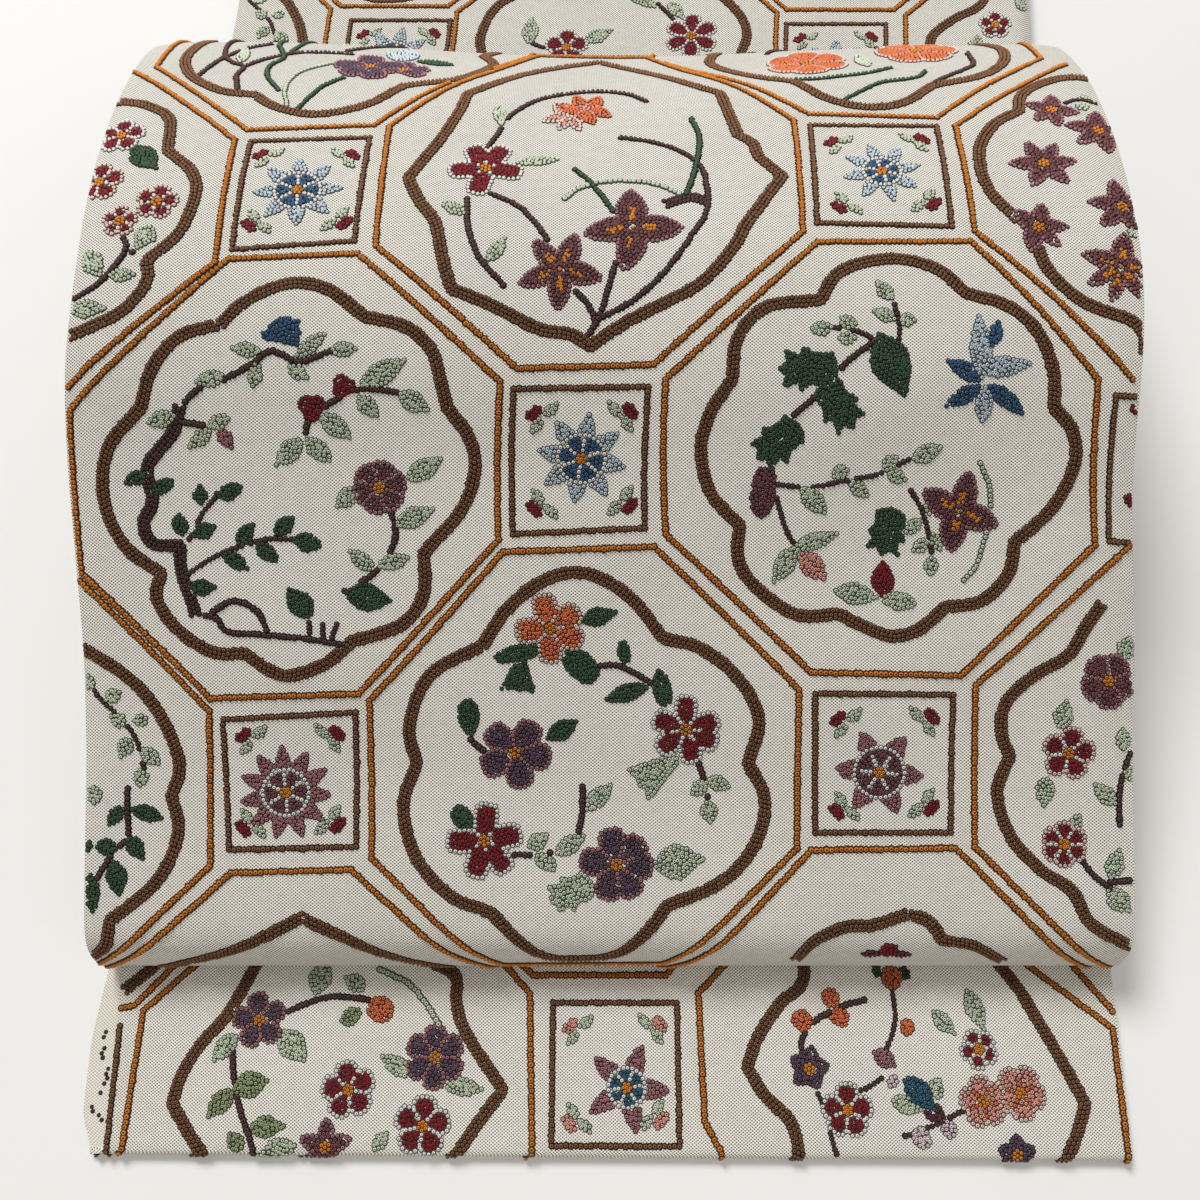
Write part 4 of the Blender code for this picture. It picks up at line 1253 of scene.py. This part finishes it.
# %% Gardens: violets, small insects and what lies far
VIOLETS = dict(
    frame=(((-22, 39, -28, 27, -34, 16, -41, 8, -46, -1, -48, -9), (-41, -19, -33, -28)),
        ((22, 37, 30, 32, 37, 28, 37.5, 20, 41, 11, 52.5, -5), (46, -13, 38, -24))),
    blooms=(("violet", (-23.5, 15, 8.5, 5, 100), (31.3, 4.4, 9.5, 6, 90)),
        ("small_cherry", (5.3, -5, 8.5, 5, 100), (28.3, -15, 8.8, 5, 85)),
        ("bellflower", (-0.7, -21, 8.5, 5, 90))),
    leaves=(("coral", (10, 19.5, 18, 17, 7, "bud")),
        ("sage", (-17, 12, -8, 3, 8), (-30, 11, -37, 3, 5.5)),
        ("olive", (8, 18, 1, 14, 5)),
        ("sage", (9, 24, 2, 28, 5), (-4, 32, -7, 22, 7)),
        ("olive", (-30, -5, -19, -2, 7.5), (-30, -5, -37, -13, 6), (-24, -16, -13, -15, 6),
            (-26, -22, -30, -17, 5)),
        ("sage", (-20, -24, -9, -20, 7), (25, -1, 14, 5, 5), (34, -3, 47, -5, 5), (14, -22, 18, -16, 4))),
    stems=(("bark", 2, (-16, 17, -9, 20, -1, 22, 10, 21)),
        ("sage", 2, (13, 30, 22, 26, 28, 20, 32, 14)),
        ("bark", 2, (-31, 7, -30, -1, -27.5, -10, -24, -18, -22, -23))))
SMALL_INSECTS = dict(
    frame=(((-28, 36, -29, 26, -36, 20, -43, 11, -47, 2), (-42, -6, -34, -14, -32, -25)),
        ((30, 35, 38, 25, 43, 16, 49, 5, 55.5, -8), (52, -16, 47, -25))),
    blooms=(("small_cherry", (-17, -10, 8, (90, 10, -60, -130, 170)), (24.5, 7, 6, 5, 45)),
        ("rosy", (24.5, -7.5, 7.5, 5, 100), (36, -5, 8, 5, 60)),
        ("dark_violet", (-28, 1.5, 6.5, 5, 80), (33.5, -22, 6, 5, 90))),
    leaves=(("coral", (-21.5, 24, -19, 19, 5, "bud"), (-20, 18, -15.5, 14, 5, "bud"),
            (-32, 17, -27, 13, 5.5, "bud"), (-1, 31, -1, 24, 6, "bud"), (1, 13.5, 5, 13, 4.5, "bud")),
        ("forest", (-7, 29, -3, 30, 3.5), (5, 28, 1, 30, 3.5)),
        ("mauve", (-8, 6.5, -1, 2, 5)),
        ("lilac", (-4, -1, -1, -3, 3.5)),
        ("teal", (1, -1, 10, -10, 7)),
        ("wine", (6, -9, 13, -12, 5)),
        ("sage", (11.5, -1, 8, -8, 5), (-3.5, -7, 6, -10, 5)),
        ("lilac", (3, -15, 7, -20, 5, "bud"), (12, -13, 15, -17, 4.5, "bud")),
        ("sage", (11, 18, 18, 11, 4.5), (22, 24, 27, 12, 5.5))),
    stems=(("bark", 2, (-10, 21, -16, 19.5, -21, 17.5, -27, 14, -30, 9, -30, 6)),
        ("bark", 1, (-1, 24, -0.5, 16, -2, 11, -4.5, 6), (-27, -3, -24.5, -8), (-23, -15, -21, -22),
            (-6, -1, -9, -3, -14, -5), (0, -17, 9, -14, 18, -10))))
FAR_OGEE = dict(
    frame=(((1, 50, -16, 41, -33, 33, -44, 27),),
        ((1, 50, 15, 43, 33, 32, 44, 26),)))
FAR_FOIL = dict(
    frame=(((5.5, 45, 0, 43, -5, 41.5), (-13, 41, -22, 36, -26, 28)),
        ((5.5, 45, 12, 43, 16.5, 37), (27, 34.5, 36, 27))),
    leaves=(("crimson", (1, 30, 1, 36, 5, "bud")),
        ("wine", (-1, 31, -8, 32, 3), (2, 31, 9, 31, 3))))
REAR_ROUND = dict(
    frame=WREATH["frame"],
    blooms=(("small_cherry", (-18.5, 6.5, 8.5, 5, 90)),
        ("cherry", (29.5, 12, 10.5, 6, 90)),
        ("violet", (5, -30, 10, 5, 90)),
        ("coral", (-4, 44, 9, 5, 80))),
    leaves=(("sage", (-33, 8, -33, 21, 6), (-12, 9, -1, 15, 6), (3, 34, 16, 25, 6), (20, 28, 26, 20, 5)),
        ("forest", (-24, -20, -34, -26, 6), (18, -24, 30, -20, 7)),
        ("sage", (-12, -36, -22, -40, 6)),
        ("forest", (-12, 46, -24, 40, 6))),
    stems=(("bark", 2, (-34, 12, -31, 8, -26, 6), (16, 27, 22, 20), (-14, -30, -6, -30),
            (-22, -18, -18, -8, -18, -1)),))
REAR_EDGE = ROSEBUDS | dict(
    blooms=(("small_cherry", (-27.5, 18.5, 6.5, 5, 90)), ("blush_cherry", (-33.3, -2, 8, 5, 80))))

# %% [markdown]
# ## Fields on the band
# The pattern is an old one: octagons edge to edge, with squares in the gaps. Every octagon has its own ochre
# line. Stitched by hand, no two have quite the same corners, so most are given one by one, in millimetres on
# the band. Those that lie behind the crown, below the flap or at the back are regular.

# %% Fields and squares of each stretch
# Corners round the centre of a regular octagon and a regular square.
OCTAGON = (-20.8, 63.6, 20.8, 63.6, 62.2, 23.2, 62.2, -23.2,
           20.8, -63.6, -20.8, -63.6, -62.2, -23.2, -62.2, 23.2)
SQUARE = (-19.3, 20.2, 19.3, 20.2, 19.3, -20.2, -19.3, -20.2)
# Fields. Columns: centre across and along, garden, the line's corners or None for a regular one.
DRUM_FIELDS = (
    (-5.2, 147, BARE_BRANCHES,
     (-24, 57.5, 13, 57.5, 57.5, 120, 56.5, 167.3, 14.2, 208.3, -24.8, 209.4, -67.9, 172.5, -67.9, 123.5)),
    (-91.5, 240.4, OLD_TRUNK,
     (-110.2, 176.7, -73.1, 175, -29.4, 213.1, -30.6, 258.5, -73.8, 303.8, -117.5, 305.2, -153.3, 267.9,
      -153.3, 220.8)),
    (81, 234.4, IVY,
     (60.6, 170.8, 105, 170.8, 141.9, 212.5, 143.3, 260, 103.3, 298.5, 59.2, 297.5, 18.3, 256.9, 17.9, 212.5)),
    (-7, 325.5, WREATH,
     (-29.4, 262.1, 14.8, 260.6, 55.8, 302.7, 55.4, 349.6, 16, 389, -32, 390.2, -70.2, 352.7, -70.6, 305.8)),
    (-93, 61.3, IRIS_BED,
     (-110, -2, -70, -4, -27, 32, -27, 60, -72.7, 123.1, -111, 126.7, -147, 90, -147, 38)),
    (81, 54.5, CORAL_BED, (62, -8, 103, -8, 143, 32, 143, 81, 101.5, 120.3, 62.5, 116.6, 15, 60, 15, 28)),
    (-180.4, 153.5, DAISIES, (-158, 88, -114, 131.3, -114, 177.7, -158, 218)),
    (168.8, 141, BELLFLOWERS, (150, 86, 106.5, 124.6, 106.5, 167.3, 152, 212)),
    (-180.4, 332, WILLOW, (-158, 266, -117.9, 309, -117.9, 354.8, -156, 391)),
    (168.8, 319.5, ROSEBUDS, (156, 258, 107.9, 301.3, 107.9, 349.2, 156, 397)),
    (-92, 420, FAR_OGEE, (-156, 396, -111.7, 356.9, -76.3, 355.8, -38.3, 391, -30, 400)),
    (82, 414, FAR_FOIL, (10, 400, 24, 388, 59.6, 350.2, 102.3, 349.6, 148, 396, 152, 400)),
    (-5.5, -31.7, WREATH, None), (-180, -25.3, WILLOW, None), (169, -38.1, ROSEBUDS, None),
)
FLAP_FIELDS = (
    (-87.3, 44.9, VIOLETS,
     (-105, -11, -66, -18.7, -27, 22, -25.5, 72, -66.5, 108.5, -108, 108.5, -149.4, 71, -147, 27)),
    (-5.5, -47, {}, None),
    (87, 44.9, SMALL_INSECTS,
     (66, -18.7, 92, -14, 153.4, 32, 153.8, 80, 108, 108.5, 48, 97.5, 26.5, 58, 25.5, 22)),
    (-180, -45, {"frame": (((39, -55, 33, -60.5, 26.6, -65.9),),)}, (-120, -6, -149.9, 25.5, -154, 26.3)),
    (175, -45, {}, (120, -14, 154, 27)),
)
REAR_FIELDS = (
    (-7.1, 115.6, REAR_ROUND, None), (-181, 114, WILLOW, None), (167.5, 117, REAR_EDGE, None),
    (-94, 26, VIOLETS | {"frame": WREATH["frame"]}, None),
    (80, 27.5, SMALL_INSECTS | {"frame": IVY["frame"]}, None),
)
# Threads of a star: outer, inner, buds.
BLUE, ROSE, MIXED = ("mist", "denim", "crimson"), ("mauve", "umber", "crimson"), ("mauve", "teal", "rose")
# Squares. Columns: centre across and along, the star's shift, radius, radius of its white ring, points and
# turn, its threads, the line's corners or None for a regular one. PLAIN_STAR fills shift to turn.
PLAIN_STAR = (0, 0, 13, 6.5, 8, 90)
DRUM_SQUARES = (
    (-91.5, 151.3, -1, -1, 13.5, 6.8, 8, 94, BLUE, (-109.2, 131.9, -73.3, 129.2, -74.2, 170.8, -109.6, 173.5)),
    (81.7, 144.5, 0, 0, 12.5, 5.6, 8, 102, BLUE, (62.3, 122.5, 100.8, 124.6, 100, 165.6, 60.8, 164.2)),
    (-5.6, 235.6, 0, 0.5, 13.5, 6.9, 8, 80, BLUE, (-25.4, 215.2, 13.1, 214.6, 12.3, 255.2, -26.3, 256.9)),
    (168.5, 233, *PLAIN_STAR, BLUE, (147.5, 217, 187, 217, 187, 259, 147.5, 259)),
    (-94.2, 329.7, -1.5, -3.5, 14.5, 6.8, 11, 95, ROSE,
     (-114, 311.5, -74.8, 309.4, -74.8, 349.2, -112.3, 350)),
    (81.2, 324.7, -1.5, -2.5, 13.5, 7.4, 6, 115, ROSE, (60.6, 303.8, 101.3, 304.2, 100.8, 345, 60.8, 345)),
    (-5.5, 27, *PLAIN_STAR, ROSE, None), (-95, -28, *PLAIN_STAR, BLUE, None),
    (81, -34, *PLAIN_STAR, BLUE, None),
)
FLAP_SQUARES = (
    (-0.5, 44.9, 3.5, -4, 13.5, 5.6, 5, 68, MIXED, None),
    (-172.9, 44.9, *PLAIN_STAR, MIXED, (-192, 31.5, -153.8, 31.5, -153.8, 72, -192, 72)),
)
REAR_SQUARES = (
    (-90.8, 116.5, -1, 3, 14.5, 6.8, 8, 80, BLUE, None), (78.3, 118, *PLAIN_STAR, BLUE, None),
    (-7, 26.5, *PLAIN_STAR, ROSE, None), (-180, 25.5, *PLAIN_STAR, ROSE, None),
    (167, 27.5, *PLAIN_STAR, ROSE, None),
)

# %% Embroider the stretches
LINE_SIZE = {"ochre": 1.4, "brown": 1.3}  # the size of a knot in a straight line
STAR_HEART, STAR_HEART_PITCH = 1.15, 1.2
STAR_RING_PITCH, ROSETTE_STEP = 1.4, 0.8  # on the white ring, and on the outline of the rosette in it
STAR_SPOKES, SPOKES_FROM = 6, 2.5
WAIST_POINTS, WAIST_LESS = 0.5, 3.6  # more points make a wider waist between them
BUD_PLACES = ((-14, 13.5), (14, 14), (14, -13), (-14, -14))
BUD_HALF, BUD_WIDTH = 2.0, 3.0
# The leaves behind a bud, from its middle: their foot and their tips. Both numbers grow away from the star.
SPRIG_FOOT, SPRIG_TIPS, SPRIG_WIDTH = (-2.6, -1.2), ((-7.4, 3.2), (0.8, -6.0)), 2.6


def even_ring(radius, pitch):
    """Knots evenly round a circle."""
    count = max(1, round(2.0 * math.pi * radius / pitch))
    return ring(radius, np.arange(count) * 2.0 * math.pi / count)


def star_square(panel, shift, radius, circle, points, turn, threads):
    """A pointed star round a ring of white knots with a dyed rosette, and a bud in each corner."""
    outer, inner, bud = threads
    heart = np.concatenate([[(0.0, 0.0)], even_ring(STAR_HEART, STAR_HEART_PITCH)])
    rim = even_ring(circle, STAR_RING_PITCH)
    turned = math.radians(turn) + np.arange(STAR_SPOKES) * math.pi / 3.0
    spokes = np.concatenate([ring(far, turned) for far in np.arange(SPOKES_FROM, circle - 1.0, SEAM_PITCH)])
    laid = np.concatenate([heart, rim, spokes])
    rosette = fill_knots(even_ring(circle, ROSETTE_STEP), laid)
    laid = np.concatenate([laid, rosette])
    waist = (circle + WAIST_POINTS * points - WAIST_LESS) / radius
    star = fill_knots(petal_outline(petal_angles(points, turn), radius, waist, "pointed"), laid)
    names = (["gold"] * len(heart) + ["white"] * (len(rim) + len(spokes)) + [inner] * len(rosette)
             + [outer] * len(star))
    panel.lay("stars", np.concatenate([laid, star]) + shift, names)
    for x, y in BUD_PLACES:
        right, back = math.copysign(1.0, x), math.copysign(1.0, y)
        half_x, half_y = BUD_HALF * right, BUD_HALF * back
        panel.leaf(bud, x - half_x, y + half_y, x + half_x, y - half_y, BUD_WIDTH, "bud")
        foot = (x + SPRIG_FOOT[0] * right, y + SPRIG_FOOT[1] * back)
        for tip_x, tip_y in SPRIG_TIPS:
            panel.leaf("sage", *foot, x + tip_x * right, y + tip_y * back, SPRIG_WIDTH)


def straight_line(panel, motif, thread, regular, corners):
    """Single knots from corner to corner: regular ones round the panel's centre, or given places on the band.
    A line with as many corners as the regular one is closed."""
    rows = as_pairs(regular if corners is None else corners)
    if len(rows) == len(regular) // 2:
        rows = np.concatenate([rows, rows[:1]])
    lay = panel.lay if corners is None else panel.cloth.lay
    for start, end in zip(rows, rows[1:]):
        lay(motif, even_steps(np.array([start, end]), LINE_PITCH), thread, LINE_SIZE[thread])


def embroider(name, stretch, nearest, farthest, fields, squares, seed):
    """All the fields of one stretch. A garden comes before its line, which stops where they meet."""
    cloth = Embroidery(name, stretch, nearest, farthest)
    for across, along, garden, corners in fields:
        panel = Panel(cloth, across, along)
        panel.garden(**garden)
        straight_line(panel, "octagons", "ochre", OCTAGON, corners)
    for across, along, *shift, radius, circle, points, turn, threads, corners in squares:
        panel = Panel(cloth, across, along)
        star_square(panel, shift, radius, circle, points, turn, threads)
        straight_line(panel, "squares", "brown", SQUARE, corners)
    return cloth.finish(seed)


# The numbers after each stretch: nearest and farthest knot along it, and, at the end, the seed.
drum_knots = embroider("drum", drum, 14.0, 398.0, DRUM_FIELDS, DRUM_SQUARES, 11)
flap_knots = embroider("flap", flap, 11.4, 70.5, FLAP_FIELDS, FLAP_SQUARES, 31)
rear_knots = embroider("rear", rear, 13.0, 148.0, REAR_FIELDS, REAR_SQUARES, 51)

# %% [markdown]
# ## Stitches on the back
# On the back of the cloth each line of knots leaves a broken row of short stitches. Most are hidden in the
# folds. A few show where the flap's lower ply stands out at the left, so only those are made. The same knots
# serve, smaller and turned over, one wall thickness in from the face.

# %% Stitches on the flap's lining
# Pairs: across, along.
REVERSE_STITCHES = (
    -151.2, 106, -151.6, 104.6, -150.8, 101.2, -151.4, 99.8, -151, 98.4, -149, 95.2, -149.4, 93.8,
    -148.8, 92.4, -149.6, 91, -150.4, 88.2, -152.6, 84.2, -152.2, 83, -150.4, 81.8, -149.8, 80.6)
REVERSE_SIZE, REVERSE_SEED = 0.85, 71
REVERSE_FROM, REVERSE_TO = 74.0, 120.0  # the lower ply, along the flap


class Underside:
    """The lining side of a stretch."""

    def __init__(self, stretch):
        self.stretch = stretch

    def facing(self, across, along):
        return -self.stretch.facing(across, along)

    def point(self, across, along):
        return self.stretch.point(across, along) + PLY * self.facing(across, along)


reverse = Embroidery("flap", Underside(flap), REVERSE_FROM, REVERSE_TO)
reverse.lay("reverse", as_pairs(REVERSE_STITCHES), "bark", REVERSE_SIZE)
flap_knots += reverse.finish(REVERSE_SEED)
